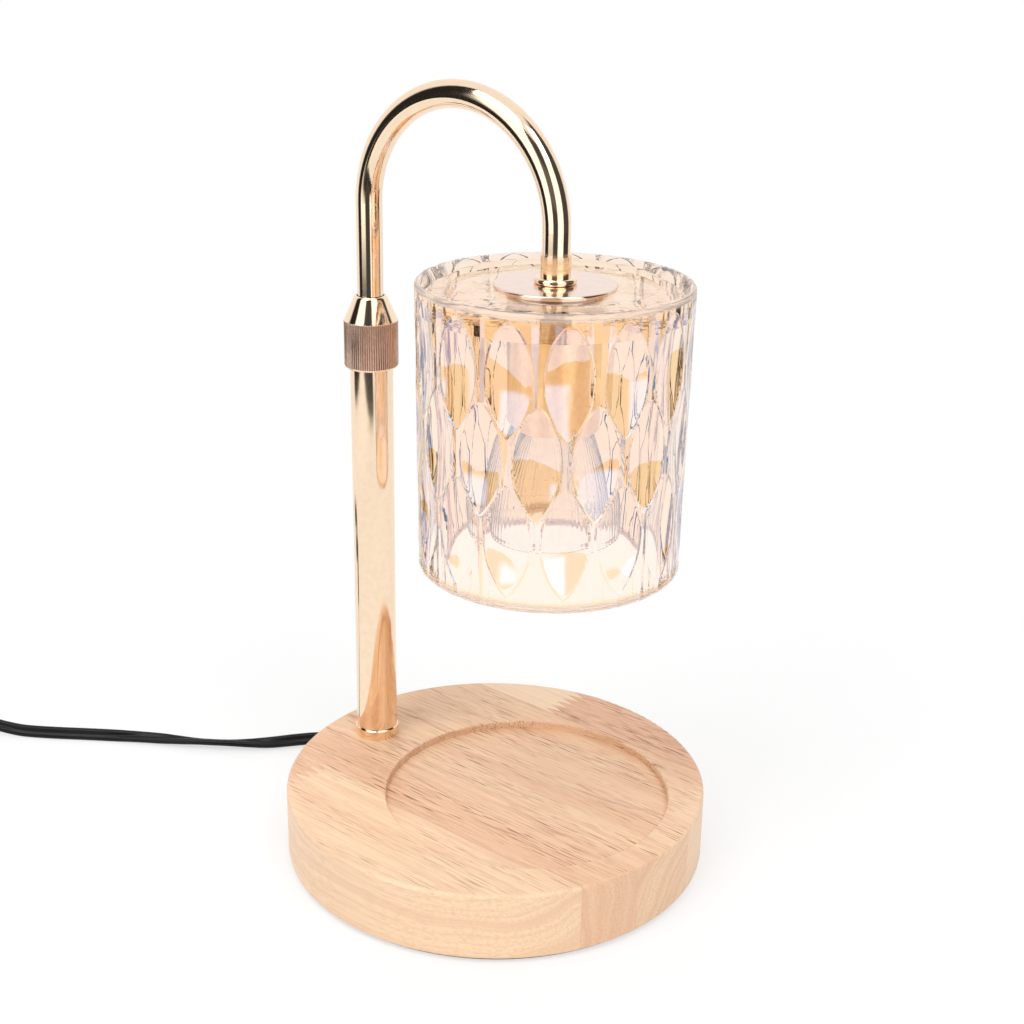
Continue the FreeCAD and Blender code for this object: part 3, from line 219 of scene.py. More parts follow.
# Each tone of the wood, and the most of it that is blended in
LIGHT_WOOD = (0.900, 0.645, 0.415, 1)
GROWTH_LINE = ((0.800, 0.500, 0.305, 1), 0.8)
STREAK = ((0.740, 0.430, 0.250, 1), 0.55)
GROWTH_BAND = ((0.780, 0.470, 0.300, 1), 0.5)
ROSY_BLOCK = ((0.690, 0.350, 0.230, 1), 0.50)
PALE_BLOCK = ((0.905, 0.690, 0.500, 1), 0.6)
PORE = ((0.500, 0.200, 0.090, 1), 0.62)
DASH = ((0.300, 0.090, 0.035, 1), 0.92)
GLUE = ((0.420, 0.200, 0.110, 1), 0.22)


def rubberwood():
    """Lacquered rubberwood board: finger-jointed strips, each block with its own tone and rings."""
    finger_pitch = 0.0038
    finger_long = 0.007
    edge_start, edge_end = 0.0786, 0.0797
    finish = new_finish("rubberwood")
    place = finish.place()
    along, across, up = finish.split(finish.mapped(place, turn=GRAIN_TURN))
    x, y, _ = finish.split(place)

    def by_strip(values):
        """A number for each strip."""
        total = values[0]
        for line, before, after in zip(GLUE_LINES, values, values[1:]):
            total = across.maths("GREATER_THAN", across, line) * (after - before) + total
        return total

    finger = abs((across / finger_pitch).fraction() - 0.5) * 2 * finger_long
    past = along + finger - by_strip([entry["joint"] for entry in STRIPS])
    beyond = past.maths("GREATER_THAN", past, 0.0)

    def by_block(key):
        """A number for each side of each strip's joint."""
        first = by_strip([entry[key][0] for entry in STRIPS])
        second = by_strip([entry[key][1] for entry in STRIPS])
        return first + beyond * (second - first)

    strip = by_strip([0.0, 1.0, 2.0, 3.0, 4.0])
    own = finish.join(along, across + beyond * 0.4, up)
    wander = finish.noise(finish.mapped(own, scale=(9, 34, 34)), 1.0, 2.0) - 0.5
    pith_side = across - by_strip([entry["pith"][0] for entry in STRIPS])
    pith_up = up - by_strip([entry["pith"][1] for entry in STRIPS])
    ring = (pith_side * pith_side + pith_up * pith_up) ** 0.5 + wander * 0.012
    lines = finish.noise(finish.join(ring * 520, along * 3, strip * 3.7 + beyond), 1.0, 2.0, 0.6)
    bands = finish.noise(finish.join(ring * 130, along * 2, strip * 5.3 + beyond), 1.0, 1.0)
    streaks = finish.noise(finish.mapped(own, scale=(14, 1100, 1100)), 1.0, 3.0, 0.6)
    clusters = finish.noise(finish.mapped(own, scale=(16, 110, 110)), 1.0, 1.0).step(0.38, 0.62)
    pores = finish.noise(finish.mapped(own, scale=(110, 3900, 3900)), 1.0, 1.0)
    dashes = finish.noise(finish.mapped(own, scale=(85, 2500, 2500), shift=(3, 5, 7)), 1.0, 0.0)
    edge = ((x * x + y * y) ** 0.5).step(edge_start, edge_end)
    open_grain = by_block("pores") * (1 - edge * 0.85)
    pores = pores.step(0.59, 0.69) * open_grain
    dashes = dashes.step(0.62, 0.71) * clusters * open_grain
    tones = [
        (lines.step(0.40, 0.66), *GROWTH_LINE),
        (streaks.step(0.42, 0.68), *STREAK),
        (bands.step(0.50, 0.70), *GROWTH_BAND),
        (by_block("rosy"), *ROSY_BLOCK),
        (by_block("pale"), *PALE_BLOCK),
        (pores, *PORE),
        (dashes, *DASH),
    ]
    body = LIGHT_WOOD
    for where, tone, most in tones:
        body = finish.blend(where * most, body, tone)
    glue = 0.0
    for line in GLUE_LINES:
        glue = (1 - abs(across - line).step(0.00010, 0.00035)) + glue
    joint = 1 - abs(past).step(0.0003, 0.0010)
    tone, most = GLUE
    body = finish.blend((glue + joint) * (most - edge * 0.14), body, tone)
    shader = finish.surface(
        Base_Color=body,
        Roughness=streaks * 0.16 + 0.36,
        Normal=finish.bump(streaks * 0.5 - pores - dashes, 0.00003, 0.5),
        Coat_Weight=0.12,
        Coat_Roughness=0.28,
    )
    return finish.done(shader)


# ---------------------------------------------------------------- metal and plastic

GOLD = (0.955, 0.745, 0.545, 1)
# The collar's grip, in millimetres: its ends, its radius, and how many ribs it has and how deep they are
GRIP_LOW = 182.0
GRIP_HIGH = 198.4
GRIP_RADIUS = 10.05
RIBS = 72
RIB_DEEP = 0.34
RIB_CORNERS = 6


def polished_metal(name, colour, roughness, flecks=0.02):
    """Plated metal with the faint waviness of a polished surface."""
    finish = new_finish(name)
    place = finish.place()
    wave = finish.noise(place, 90.0, 2.0)
    wear = finish.noise(place, 420.0, 3.0)
    shade = [part * (1 - flecks * 2) for part in colour[:3]] + [1]
    shader = finish.surface(
        Base_Color=finish.blend(wear.step(0.35, 0.75), colour, shade),
        Metallic=1.0,
        Roughness=wear * (roughness * 0.5) + roughness * 0.75,
        Normal=finish.bump(wave, 0.00002, 0.5),
    )
    return finish.done(shader)


def knurled_gold():
    """The same plating, duller on the grip, with painted shade: the grip darker overall and darkest in the
    valleys between its ribs.
    """
    finish = new_finish("knurled_gold")
    place = finish.place()
    x, y, z = finish.split(finish.mapped(place, shift=(-POLE.x, -POLE.y, 0.0)))
    out = (x * x + y * y) ** 0.5
    grip = z.within((GRIP_LOW - 0.2) * MM, (GRIP_HIGH + 0.2) * MM, 0.0002) * out.step(0.0090, 0.0094)
    # Painted shade: darkest where the radius drops into the valleys between the ribs
    painted_valley_shade = (1 - out.step(0.00972, 0.01002)) * grip
    wear = finish.noise(place, 700.0, 3.0)
    # Painted shade: darker brown tones on the grip stand in for the light lost between its ribs
    painted_grip_shade = finish.blend(wear.step(0.3, 0.7), (0.700, 0.500, 0.400, 1), (0.600, 0.410, 0.320, 1))
    plate = finish.blend(grip, GOLD, painted_grip_shade)
    shader = finish.surface(
        Base_Color=finish.blend(painted_valley_shade * 0.85, plate, (0.260, 0.150, 0.105, 1)),
        Metallic=1.0,
        Roughness=wear * 0.04 + grip * 0.12 + 0.07,
        Normal=finish.bump(wear, 0.00002, 0.4),
    )
    return finish.done(shader)


def moulded(name, colour, roughness, grain=0.00004, scale=2600.0, spread=0.35, coat=0.0, gloss=0.5):
    """Moulded plastic or rubber with a fine spark texture."""
    finish = new_finish(name)
    place = finish.place()
    texture = finish.noise(place, scale, 2.0)
    patches = finish.noise(place, 60.0, 2.0)
    lighter = [min(1.0, part * (1 + spread) + 0.002) for part in colour[:3]] + [1]
    shader = finish.surface(
        Base_Color=finish.blend(patches.step(0.3, 0.7), colour, lighter),
        Roughness=texture * 0.16 + (roughness - 0.08),
        Specular_IOR_Level=gloss,
        Normal=finish.bump(texture, grain, 0.6),
        Coat_Weight=coat,
    )
    return finish.done(shader)


# ---------------------------------------------------------------- glass

# The pressed leaves, in millimetres and degrees: half a leaf's width and height, how full its upper and
# lower points are, the heights of the three rows, the leaves in a row, where the first one stands, how deep
# a leaf bites, and how wide and how low the land round it is
LEAF_WIDE = 8.1
LEAF_HIGH = 19.6
LEAF_POINT_UP = 0.70
LEAF_POINT_DOWN = 0.92
LEAF_ROWS = (203.0, 175.5, 148.0)
LEAF_COUNT = 15
LEAF_SECTOR = 360 / LEAF_COUNT
LEAF_START = -0.9
LEAF_DEEP = 1.7
LAND_WIDE = 1.5
LAND_LOW = 0.22
# The tints of its glass: plain, in the clouds of the lustre, on the crown, where light leaves through the
# skin, on the frosted rims and through its depth
CLEAR = (1.0, 0.92, 0.85, 1)
CLOUDED = (1.0, 0.90, 0.83, 1)
CROWN = (1.0, 0.84, 0.79, 1)
LEAVING = (0.96, 0.76, 0.56, 1)
FROSTED = (1.0, 0.88, 0.82, 1)
DEPTH_OF_GLASS = (0.985, 0.64, 0.20, 1)


def row_start(row):
    """Where a row's first leaf stands: the middle row is half a leaf further round."""
    return LEAF_START + (LEAF_SECTOR / 2 if row == 1 else 0.0)


def tinted_glass():
    """Pressed glass with a lustre on its outside that mirrors pale blue and lets amber through."""
    bend = 1.25
    lustre_share = 0.65
    bead_high = 0.0018
    finish = new_finish("tinted_glass")
    place = finish.place()
    x, y, z = finish.split(finish.mapped(place, shift=(-SHADE.x, -SHADE.y, 0.0)))
    out = (x * x + y * y) ** 0.5
    turn = y.maths("ARCTAN2", y, x) * math.degrees(1)
    nearest = 99.0
    for row, height in enumerate(LEAF_ROWS):
        sectors = (turn - row_start(row)) / LEAF_SECTOR
        side = ((sectors + 0.5).fraction() - 0.5) * math.radians(LEAF_SECTOR) * out * 1000
        rise = z * 1000 - height
        along = (rise / LEAF_HIGH) ** 2
        along = along.maths("MINIMUM", along, 0.995)
        lower = rise.maths("LESS_THAN", rise, 0.0)
        point = lower * (LEAF_POINT_DOWN - LEAF_POINT_UP) + LEAF_POINT_UP
        wide = (1 - along) ** point
        slope = point * 2 * abs(rise) / LEAF_HIGH**2 * wide / (1 - along)
        gap = (abs(side) / LEAF_WIDE - wide) / (slope * slope + 1 / LEAF_WIDE**2) ** 0.5
        nearest = gap.maths("MINIMUM", gap, nearest)
    top = z.step(0.2236, 0.2242)
    skin = out.step(0.0435, 0.0445) * (1 - top)
    bead = nearest.within(0.1, LAND_WIDE, 0.45) * skin
    crown = top * out.step(0.034, 0.037)
    filmed = skin * z.step(0.1265, 0.1290) * (1 - z.step(0.2205, 0.2230))
    lower_rim = 1 - z.step(0.1240, 0.1262)
    upper_rim = z.step(0.2222, 0.2238) * out.step(0.0440, 0.0462)
    rims = lower_rim * 0.6 + upper_rim * 0.3
    clouds = finish.noise(place, 45.0, 2.0)
    ripple = finish.noise(finish.mapped(place, scale=(1, 1, 0.35)), 130.0, 2.0)
    relief = finish.bump(bead + ripple * 0.1, bead_high, 1.0)
    inside = Value(finish, finish.node("ShaderNodeNewGeometry").socket.node.outputs["Backfacing"])
    plain = finish.surface(
        Base_Color=finish.blend(skin * inside, finish.blend(crown, CLEAR, CROWN), LEAVING),
        Roughness=0.0,
        Transmission_Weight=1.0,
        IOR=bend,
        Normal=relief,
    )
    lustre = finish.surface(
        Base_Color=finish.blend(clouds.step(0.35, 0.65), CLEAR, CLOUDED),
        Roughness=clouds * 0.02,
        Transmission_Weight=1.0,
        IOR=bend,
        Thin_Film_Thickness=142.0,
        Thin_Film_IOR=2.3,
        Coat_Weight=1.0,
        Coat_IOR=1.8,
        Normal=relief,
    )
    frosted = finish.surface(Base_Color=FROSTED, Roughness=0.35)
    glass = finish.mixed(filmed * (1 - inside) * lustre_share, plain, lustre)
    body = finish.node("ShaderNodeVolumeAbsorption", inputs={"Color": DEPTH_OF_GLASS, "Density": 6.0})
    return finish.done(finish.mixed(rims, glass, frosted), body)


def ribbed_reflector():
    """Silvery glass with fine ribs that fan out from the foot of the bulb."""
    ribs_round = 60
    finish = new_finish("ribbed_reflector")
    place = finish.place()
    x, y, z = finish.split(finish.mapped(place, shift=(-BULB.x, -BULB.y, 0.0)))
    ribs = (y.maths("ARCTAN2", y, x) * ribs_round).sine()
    frost = finish.noise(place, 300.0, 2.0)
    silver = finish.blend(frost.step(0.3, 0.7), (0.95, 0.95, 0.95, 1), (1.0, 1.0, 1.0, 1))
    shader = finish.surface(
        Base_Color=silver,
        Roughness=frost * 0.10 + 0.05,
        Transmission_Weight=1.0,
        IOR=1.10,
        Normal=finish.bump(ribs, 0.00015, 0.8),
    )
    return finish.done(shader)


def clear_glass(name, tint):
    """Smooth clear glass of a small piece, which bends what is behind it very little."""
    finish = new_finish(name)
    ripple = finish.noise(finish.place(), 260.0, 2.0)
    shader = finish.surface(
        Base_Color=finish.blend(ripple.step(0.3, 0.7), tint, (1, 1, 1, 1)),
        Roughness=ripple * 0.03,
        Transmission_Weight=1.0,
        IOR=1.04,
        Normal=finish.bump(ripple, 0.00003, 0.5),
    )
    return finish.done(shader)


# ---------------------------------------------------------------- finish of every slot

FINISHES = {
    "rubberwood": rubberwood(),
    "pad_foam": moulded("pad_foam", (0.018, 0.017, 0.016, 1), 0.85, grain=0.00015, scale=1500.0),
    "gold_plate": polished_metal("gold_plate", GOLD, 0.09),
    "zinc_steel": polished_metal("zinc_steel", (0.62, 0.62, 0.60, 1), 0.28, flecks=0.06),
    "nylon": moulded("nylon", (0.84, 0.83, 0.78, 1), 0.45, spread=0.04),
    "brass_ring": polished_metal("brass_ring", (0.82, 0.62, 0.30, 1), 0.22),
    "black_rubber": moulded("black_rubber", (0.014, 0.014, 0.014, 1), 0.62),
    "cord_jacket": moulded(
        "cord_jacket", (0.004, 0.004, 0.005, 1), 0.34, grain=0.00001, scale=900.0, gloss=0.22
    ),
    "lead_sleeve": moulded("lead_sleeve", (0.020, 0.020, 0.020, 1), 0.50),
    "tinted_glass": tinted_glass(),
    "silicone": moulded("silicone", (0.82, 0.80, 0.75, 1), 0.55, spread=0.05),
    "brass_cup": polished_metal("brass_cup", (0.94, 0.87, 0.74, 1), 0.34, flecks=0.05),
    "ceramic": moulded("ceramic", (0.86, 0.84, 0.79, 1), 0.30, grain=0.00001, spread=0.03, coat=0.6),
    "bulb_glass": clear_glass("bulb_glass", (0.97, 0.98, 1.0, 1)),
    "nickel": polished_metal("nickel", (0.74, 0.72, 0.68, 1), 0.14),
    "black_plastic": moulded("black_plastic", (0.016, 0.016, 0.017, 1), 0.48),
    "board": moulded("board", (0.030, 0.170, 0.060, 1), 0.40, scale=500.0),
}


def dress(piece, slot):
    """Gives a piece the finish of a slot in the record."""
    piece.data.materials.clear()
    piece.data.materials.append(FINISHES[slot])


for part in frame["record"]["subparts"]:
    for holder in nodes[part["node"]].material_slots:
        holder.material = FINISHES[part["material_slot"]]

# Painted reflection: the top disc gets a darker, rosier copy of the gold plating for the pinkish tint it
# mirrors
for holder in nodes["top_disc"].material_slots:
    holder.material = polished_metal("disc_painted_reflection", (0.900, 0.700, 0.600, 1), 0.16)

for holder in nodes["bulb_reflector"].material_slots:
    holder.material = ribbed_reflector()

# ---------------------------------------------------------------- flat twin cord

CORD_WIDE = 0.0052
LOBE = CORD_WIDE / 4
LAMP_ROUTE = [
    (-80.26, 14.15, 4.6),
    (-92.3, 16.3, 4.5),
    (-102.9, 13.1, 4.0),
    (-111.3, 5.9, 3.3),
    (-121.2, -4.6, 2.6),
    (-141.4, -19.0, 2.6),
    (-163.2, -30.4, 2.6),
    (-183.4, -42.8, 2.6),
    (-202.6, -55.4, 2.6),
    (-215.0, -62.8, 3.0),
    (-225.2, -68.3, 6.0),
]
PLUG_ROUTE = [
    (-299.8, -114.9, 6.0),
    (-309.1, -120.7, 4.6),
    (-322.9, -122.9, 2.6),
    (-336.4, -119.0, 2.6),
    (-347.9, -111.0, 2.6),
    (-356.4, -101.2, 3.4),
]
TAIL_ROUTE = [
    (-362.0, -88.7, 6.2),
    (-364.8, -75.0, 6.8),
    (-366.0, -62.0, 7.0),
]
# How the flat cord leans along its way: millimetres from its start, and degrees from lying flat
LAMP_LEAN = [
    (0, 40),
    (24, 58),
    (34, 52),
    (66, -24),
    (74, -24),
    (97, 25),
    (118, 60),
    (150, 60),
    (168, 40),
    (200, 0),
]
PLUG_LEAN = [(0, 0), (14, 5), (55, 90), (1478, 90), (1505, 12), (1700, 0)]


def coil_route():
    """The wound turns: four inward on the floor, then four outward on top of them."""
    centre = Vector((-331.0, -77.4, 0.0))
    low, high = 3.4, 8.7
    outer, pitch, rows = 33.5, 2.75, 4
    start, step = 223.1, 20.0
    climb = 0.12
    overlap = 23.1
    turns = 2 * rows + overlap / 360
    points = []
    for number in range(1, int(turns * 360 / step) + 1):
        turn = number * step / 360
        inward = min(turn, rows)
        outward = max(0.0, turn - rows - climb)
        radius = outer - pitch * (inward - outward * rows / (turns - rows - climb))
        rise = min(1.0, max(0.0, (turn - rows) / climb))
        angle = math.radians(start - number * step)
        side = Vector((math.cos(angle), math.sin(angle), 0.0))
        points.append(tuple(centre + side * radius + Vector((0, 0, low + (high - low) * rise))))
    return points


def spline_of(name, route):
    """A smooth open curve with the route's points as its control points."""
    curve = bpy.data.curves.new(name, "CURVE")
    curve.dimensions = "3D"
    spline = curve.splines.new("NURBS")
    spline.points.add(len(route) - 1)
    for point, place in zip(spline.points, route):
        point.co = (*(Vector(place) * MM), 1)
    spline.order_u = 3
    spline.use_endpoint_u = True
    spline.resolution_u = 6
    holder = bpy.data.objects.new(name, curve)
    mesh = bpy.data.meshes.new_from_object(holder)
    line = [vertex.co.copy() for vertex in mesh.vertices]
    bpy.data.objects.remove(holder)
    bpy.data.curves.remove(curve)
    bpy.data.meshes.remove(mesh)
    return line


def lean_at(distance, leans):
    """The lean in radians at a distance along the cord, eased between the listed places."""
    for (near, first), (far, second) in zip(leans, leans[1:]):
        if distance <= far:
            share = max(0.0, (distance - near) / (far - near))
            share = share * share * (3 - 2 * share)
            return math.radians(first + (second - first) * share)
    return math.radians(leans[-1][1])


def twin_section():
    """The outline of two wires side by side, joined at a waist."""
    corners = 9
    first, step = -144, 36
    outline = []
    for side in (1, -1):
        for number in range(corners):
            angle = math.radians(first + number * step)
            reach = LOBE + LOBE * math.cos(angle)
            outline.append((side * reach, side * LOBE * math.sin(angle)))
    return outline


def flat_cord(name, route, leans):
    """A flat twin cord swept along the route's spline, leaning as listed."""
    line = spline_of(name, route)
    outline = twin_section()
    mesh = bmesh.new()
    gone = 0.0
    rings = []
    for number, point in enumerate(line):
        before = line[max(number - 1, 0)]
        after = line[min(number + 1, len(line) - 1)]
        gone += (point - before).length / MM
        ahead = (after - before).normalized()
        flat = ahead.cross(Vector((0, 0, 1))).normalized()
        upright = flat.cross(ahead)
        lean = lean_at(gone, leans)
        wide = flat * math.cos(lean) + upright * math.sin(lean)
        thick = upright * math.cos(lean) - flat * math.sin(lean)
        rings.append([mesh.verts.new(point + wide * x + thick * y) for x, y in outline])
    for first, second in zip(rings, rings[1:]):
        for number in range(len(outline)):
            after = (number + 1) % len(outline)
            mesh.faces.new((first[number], first[after], second[after], second[number]))
    mesh.faces.new(rings[0])
    mesh.faces.new(list(reversed(rings[-1])))
    bmesh.ops.recalc_face_normals(mesh, faces=mesh.faces)
    data = bpy.data.meshes.new(name)
    mesh.to_mesh(data)
    mesh.free()
    piece = bpy.data.objects.new(name, data)
    bpy.context.scene.collection.objects.link(piece)
    for face in data.polygons:
        face.use_smooth = len(face.vertices) == 4
    dress(piece, "cord_jacket")
    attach(piece, "base")
    return piece, line


lamp_lead, lamp_line = flat_cord("lamp_lead", LAMP_ROUTE, LAMP_LEAN)
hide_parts("lamp_cord")
plug_lead, plug_line = flat_cord("plug_lead", PLUG_ROUTE + coil_route() + TAIL_ROUTE, PLUG_LEAN)
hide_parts("plug_cord", "cord_coil", "plug_tail")

# ---------------------------------------------------------------- knurled collar


def turned(name, axis, profile, sides):
    """A closed ring of metal turned from a profile of (radius, height) pairs in millimetres."""
    bpy.ops.object.select_all(action="DESELECT")
    radius, height = profile[0]
    bpy.ops.mesh.primitive_circle_add(
        vertices=sides, radius=radius * MM, location=(axis.x, axis.y, height * MM)
    )
    piece = bpy.context.object
    piece.name = name
    bpy.ops.object.mode_set(mode="EDIT")
    bpy.ops.mesh.select_all(action="SELECT")
    for wide, high in profile[1:] + profile[:1]:
        bpy.ops.mesh.extrude_region_move(TRANSFORM_OT_translate={"value": (0, 0, (high - height) * MM)})
        share = wide / radius
        bpy.ops.transform.resize(value=(share, share, 1), center_override=(axis.x, axis.y, high * MM))
        radius, height = wide, high
    bpy.ops.mesh.select_all(action="SELECT")
    bpy.ops.mesh.remove_doubles(threshold=0.00001)
    bpy.ops.mesh.normals_make_consistent(inside=False)
    bpy.ops.object.mode_set(mode="OBJECT")
    bpy.ops.object.transform_apply(location=True, rotation=True, scale=True)
    return piece


def smooth(piece, sharpest):
    """Smooth shading up to the angle given in degrees."""
    bpy.ops.object.select_all(action="DESELECT")
    piece.select_set(True)
    bpy.context.view_layer.objects.active = piece
    bpy.ops.object.shade_smooth_by_angle(angle=math.radians(sharpest))


def knurl(piece, axis, low, high, radius, ribs, depth):
    """Straight rounded ribs: the corners of the ring between two heights are drawn in by turns."""
    steps = RIB_CORNERS
    near = 0.01
    skin = 0.15
    bpy.ops.object.mode_set(mode="EDIT")
    bpy.ops.mesh.select_mode(type="VERT")
    for phase in range(1, steps):
        bpy.ops.mesh.select_all(action="DESELECT")
        mesh = bmesh.from_edit_mesh(piece.data)
        for vertex in mesh.verts:
            away = vertex.co - axis
            turn = math.atan2(away.y, away.x) / math.tau * ribs
            on_ring = low - near < vertex.co.z / MM < high + near
            outer = math.hypot(away.x, away.y) / MM > radius - skin
            if on_ring and outer and round((turn % 1) * steps) % steps == phase:
                vertex.select = True
        mesh.select_flush_mode()
        bmesh.update_edit_mesh(piece.data)
        inward = depth * (1 - math.cos(math.tau * phase / steps)) / 2
        share = 1 - inward / radius
        bpy.ops.transform.resize(value=(share, share, 1), center_override=(axis.x, axis.y, low * MM))
    bpy.ops.object.mode_set(mode="OBJECT")


def make_collar():
    """The height lock: polished cone above a knurled grip."""
    axis = Vector((POLE.x, POLE.y, 0.0))
    profile = [
        (8.3, 181.0),
        (9.3, 181.0),
        (9.75, 181.25),
        (9.9, 181.7),
        (GRIP_RADIUS, GRIP_LOW),
        (GRIP_RADIUS, GRIP_HIGH),
        (9.95, 198.75),
        (9.8, 199.1),
        (9.3, 200.2),
        (6.2, 207.2),
        (5.9, 207.8),
        (5.6, 208.0),
        (5.1, 208.0),
        (5.1, 205.5),
        (8.3, 199.0),
    ]
    piece = turned("knurled_collar", axis, profile, RIBS * RIB_CORNERS)
    knurl(piece, axis, GRIP_LOW, GRIP_HIGH, GRIP_RADIUS, RIBS, RIB_DEEP)
    smooth(piece, 38)
    dress(piece, "gold_plate")
    piece.data.materials[0] = knurled_gold()
    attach(piece, "collar")
    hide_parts("lock_collar")


make_collar()

# ---------------------------------------------------------------- pressed glass


# The wall's outer radius halfway up, the heights between which the land is cut, and the length over which
# that cut begins and ends, in millimetres
GLASS_RADIUS = 46.8
CARVED_LOW = 126.0
CARVED_HIGH = 222.5
CARVED_EASE = 4.0


def leaf_depth(turn, height):
    """How deep the scoops bite at a place on the glass, in millimetres: turn in degrees, height in mm."""
    near = 9.0
    deepest = 0.0
    for row, middle_high in enumerate(LEAF_ROWS):
        sectors = (turn - row_start(row)) / LEAF_SECTOR
        side = ((sectors + 0.5) % 1 - 0.5) * math.radians(LEAF_SECTOR) * GLASS_RADIUS
        rise = height - middle_high
        along = min((rise / LEAF_HIGH) ** 2, 0.995)
        point = LEAF_POINT_DOWN if rise < 0 else LEAF_POINT_UP
        wide = (1 - along) ** point
        slope = point * 2 * abs(rise) / LEAF_HIGH**2 * wide / (1 - along)
        gap = (abs(side) / LEAF_WIDE - wide) / math.hypot(slope, 1 / LEAF_WIDE)
        near = min(near, gap)
        if abs(rise) < LEAF_HIGH and gap < 0:
            deepest = max(deepest, LEAF_DEEP * (wide * wide - (side / LEAF_WIDE) ** 2))
    land = min(max(near / LAND_WIDE, 0.0), 1.0)
    lower_end = min(max((height - CARVED_LOW) / CARVED_EASE, 0.0), 1.0)
    upper_end = min(max((CARVED_HIGH - height) / CARVED_EASE, 0.0), 1.0)
    return deepest + LAND_LOW * land * land * (3 - 2 * land) * lower_end * upper_end


def carve(piece, axis, low, high, inner, depth_at):
    """Draws the outer skin of a turned piece inward by the depth wanted at each place.

    Every depth is a whole number of small shares, and each power of two of it is one pull towards the axis.
    """
    grain = 0.00002
    pulls = 11
    bpy.context.view_layer.objects.active = piece
    bpy.ops.object.mode_set(mode="EDIT")
    bpy.ops.mesh.select_mode(type="VERT")
    mesh = bmesh.from_edit_mesh(piece.data)
    wanted = []
    for vertex in mesh.verts:
        away = vertex.co - axis
        radius = math.hypot(away.x, away.y) / MM
        height = vertex.co.z / MM
        count = 0
        if radius > inner and low < height < high:
            depth = depth_at(math.degrees(math.atan2(away.y, away.x)), height)
            count = round(-math.log(1 - depth / radius) / grain)
        wanted.append(count)
    for power in range(pulls):
        bpy.ops.mesh.select_all(action="DESELECT")
        mesh = bmesh.from_edit_mesh(piece.data)
        for vertex, count in zip(mesh.verts, wanted):
            if count >> power & 1:
                vertex.select = True
        mesh.select_flush_mode()
        bmesh.update_edit_mesh(piece.data)
        share = math.exp(-grain * 2**power)
        bpy.ops.transform.resize(value=(share, share, 1), center_override=(axis.x, axis.y, 0.0))
    bpy.ops.object.mode_set(mode="OBJECT")


def rounded(radius, height, bend, start, end):
    """Profile points round a corner: the middle and radius of its arc, and its two ends in degrees."""
    steps = 6
    points = []
    for number in range(steps + 1):
        angle = math.radians(start + (end - start) * number / steps)
        points.append((radius + bend * math.cos(angle), height + bend * math.sin(angle)))
    return points


def make_glass():
    """The shade: a thick-walled cup with a solid crown and three rows of pointed leaves round it."""
    axis = Vector((SHADE.x, SHADE.y, 0.0))
    profile = [
        (41.4, 123.5),
        *rounded(44.76, 125.0, 1.5, -90, -1),
        *rounded(45.93, 224.0, 1.5, 1, 90),
        *rounded(36.2, 225.0, 0.5, 90, 180),
        (35.7, 223.3),
        (5.35, 223.3),
        (5.35, 215.05),
        (42.12, 215.05),
        (41.05, 123.85),
    ]
    around = 36
    wall_tall = 0.09
    wall_out = 0.046
    piece = turned("leaf_glass", axis, profile, LEAF_COUNT * around)
    bpy.ops.object.mode_set(mode="EDIT")
    bpy.ops.mesh.select_mode(type="EDGE")
    bpy.ops.mesh.select_all(action="DESELECT")
    mesh = bmesh.from_edit_mesh(piece.data)
    for edge in mesh.edges:
        first, second = (vertex.co for vertex in edge.verts)
        out = math.hypot(first.x - axis.x, first.y - axis.y)
        if abs(first.z - second.z) > wall_tall and out > wall_out:
            edge.select = True
    bmesh.update_edit_mesh(piece.data)
    bpy.ops.mesh.subdivide(number_cuts=100)
    bpy.ops.object.mode_set(mode="OBJECT")
    carve(piece, axis, low=125.5, high=223.5, inner=45.0, depth_at=leaf_depth)
    smooth(piece, 35)
    dress(piece, "tinted_glass")
    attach(piece, "arm")
    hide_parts("glass_shade")


make_glass()

# ---------------------------------------------------------------- camera


def make_camera():
    """A level-headed product camera in front of the lamp, a little to its right."""
    place = Vector((0.328247, -0.444698, 0.349681))
    ahead = Vector((-0.5480, 0.7556, -0.3590)).normalized()
    side = Vector((0.8095, 0.5871, 0.0)).normalized()
    up = side.cross(ahead)
    roll = math.radians(0.935)
    across = side * math.cos(roll) + up * math.sin(roll)
    upward = up * math.cos(roll) - side * math.sin(roll)
    turn = Matrix((across, upward, -ahead)).transposed().to_4x4()
    data = bpy.data.cameras.new("camera")
    data.lens = 57.48
    data.sensor_width = 36.0
    data.clip_start = 0.01
    data.clip_end = 20.0
    camera = bpy.data.objects.new("camera", data)
    camera.matrix_world = Matrix.Translation(place) @ turn
    bpy.context.scene.collection.objects.link(camera)
    bpy.context.scene.camera = camera


make_camera()

# ---------------------------------------------------------------- studio

FACING = math.radians(-53.9)  # azimuth of the side that faces the viewer
TABLE_FRONT = 0.47
TABLE_SIDE = 0.60
TABLE_BACK = 3.0
# The darker front of the room: its middle, where it passes into the white behind on either side, and the
# elevations over which it passes into the white above, all in degrees
FRONT_MIDDLE = 3.5
FRONT_ENDS = (100, 112)
CEILING_STARTS = (62, 72)
DARK_GAP = grey(0.02)
AMBER_GAP = (0.92, 0.80, 0.66, 1)  # what glass sees where the room is dark
# The room as the polished parts mirror it: azimuth from the viewer's side, elevation and strength
PANELS = [
    (-68, -28, -12, 46, 1.6),
    (11, 56, -17, 64, 1.6),
    (-56, 46, 46, 90, 0.95),
    (-27, 11, 0, 24, 0.12),
    (-27, 11, -22, 46, 0.045),
    (60, 104, -12, 70, 0.05),
]


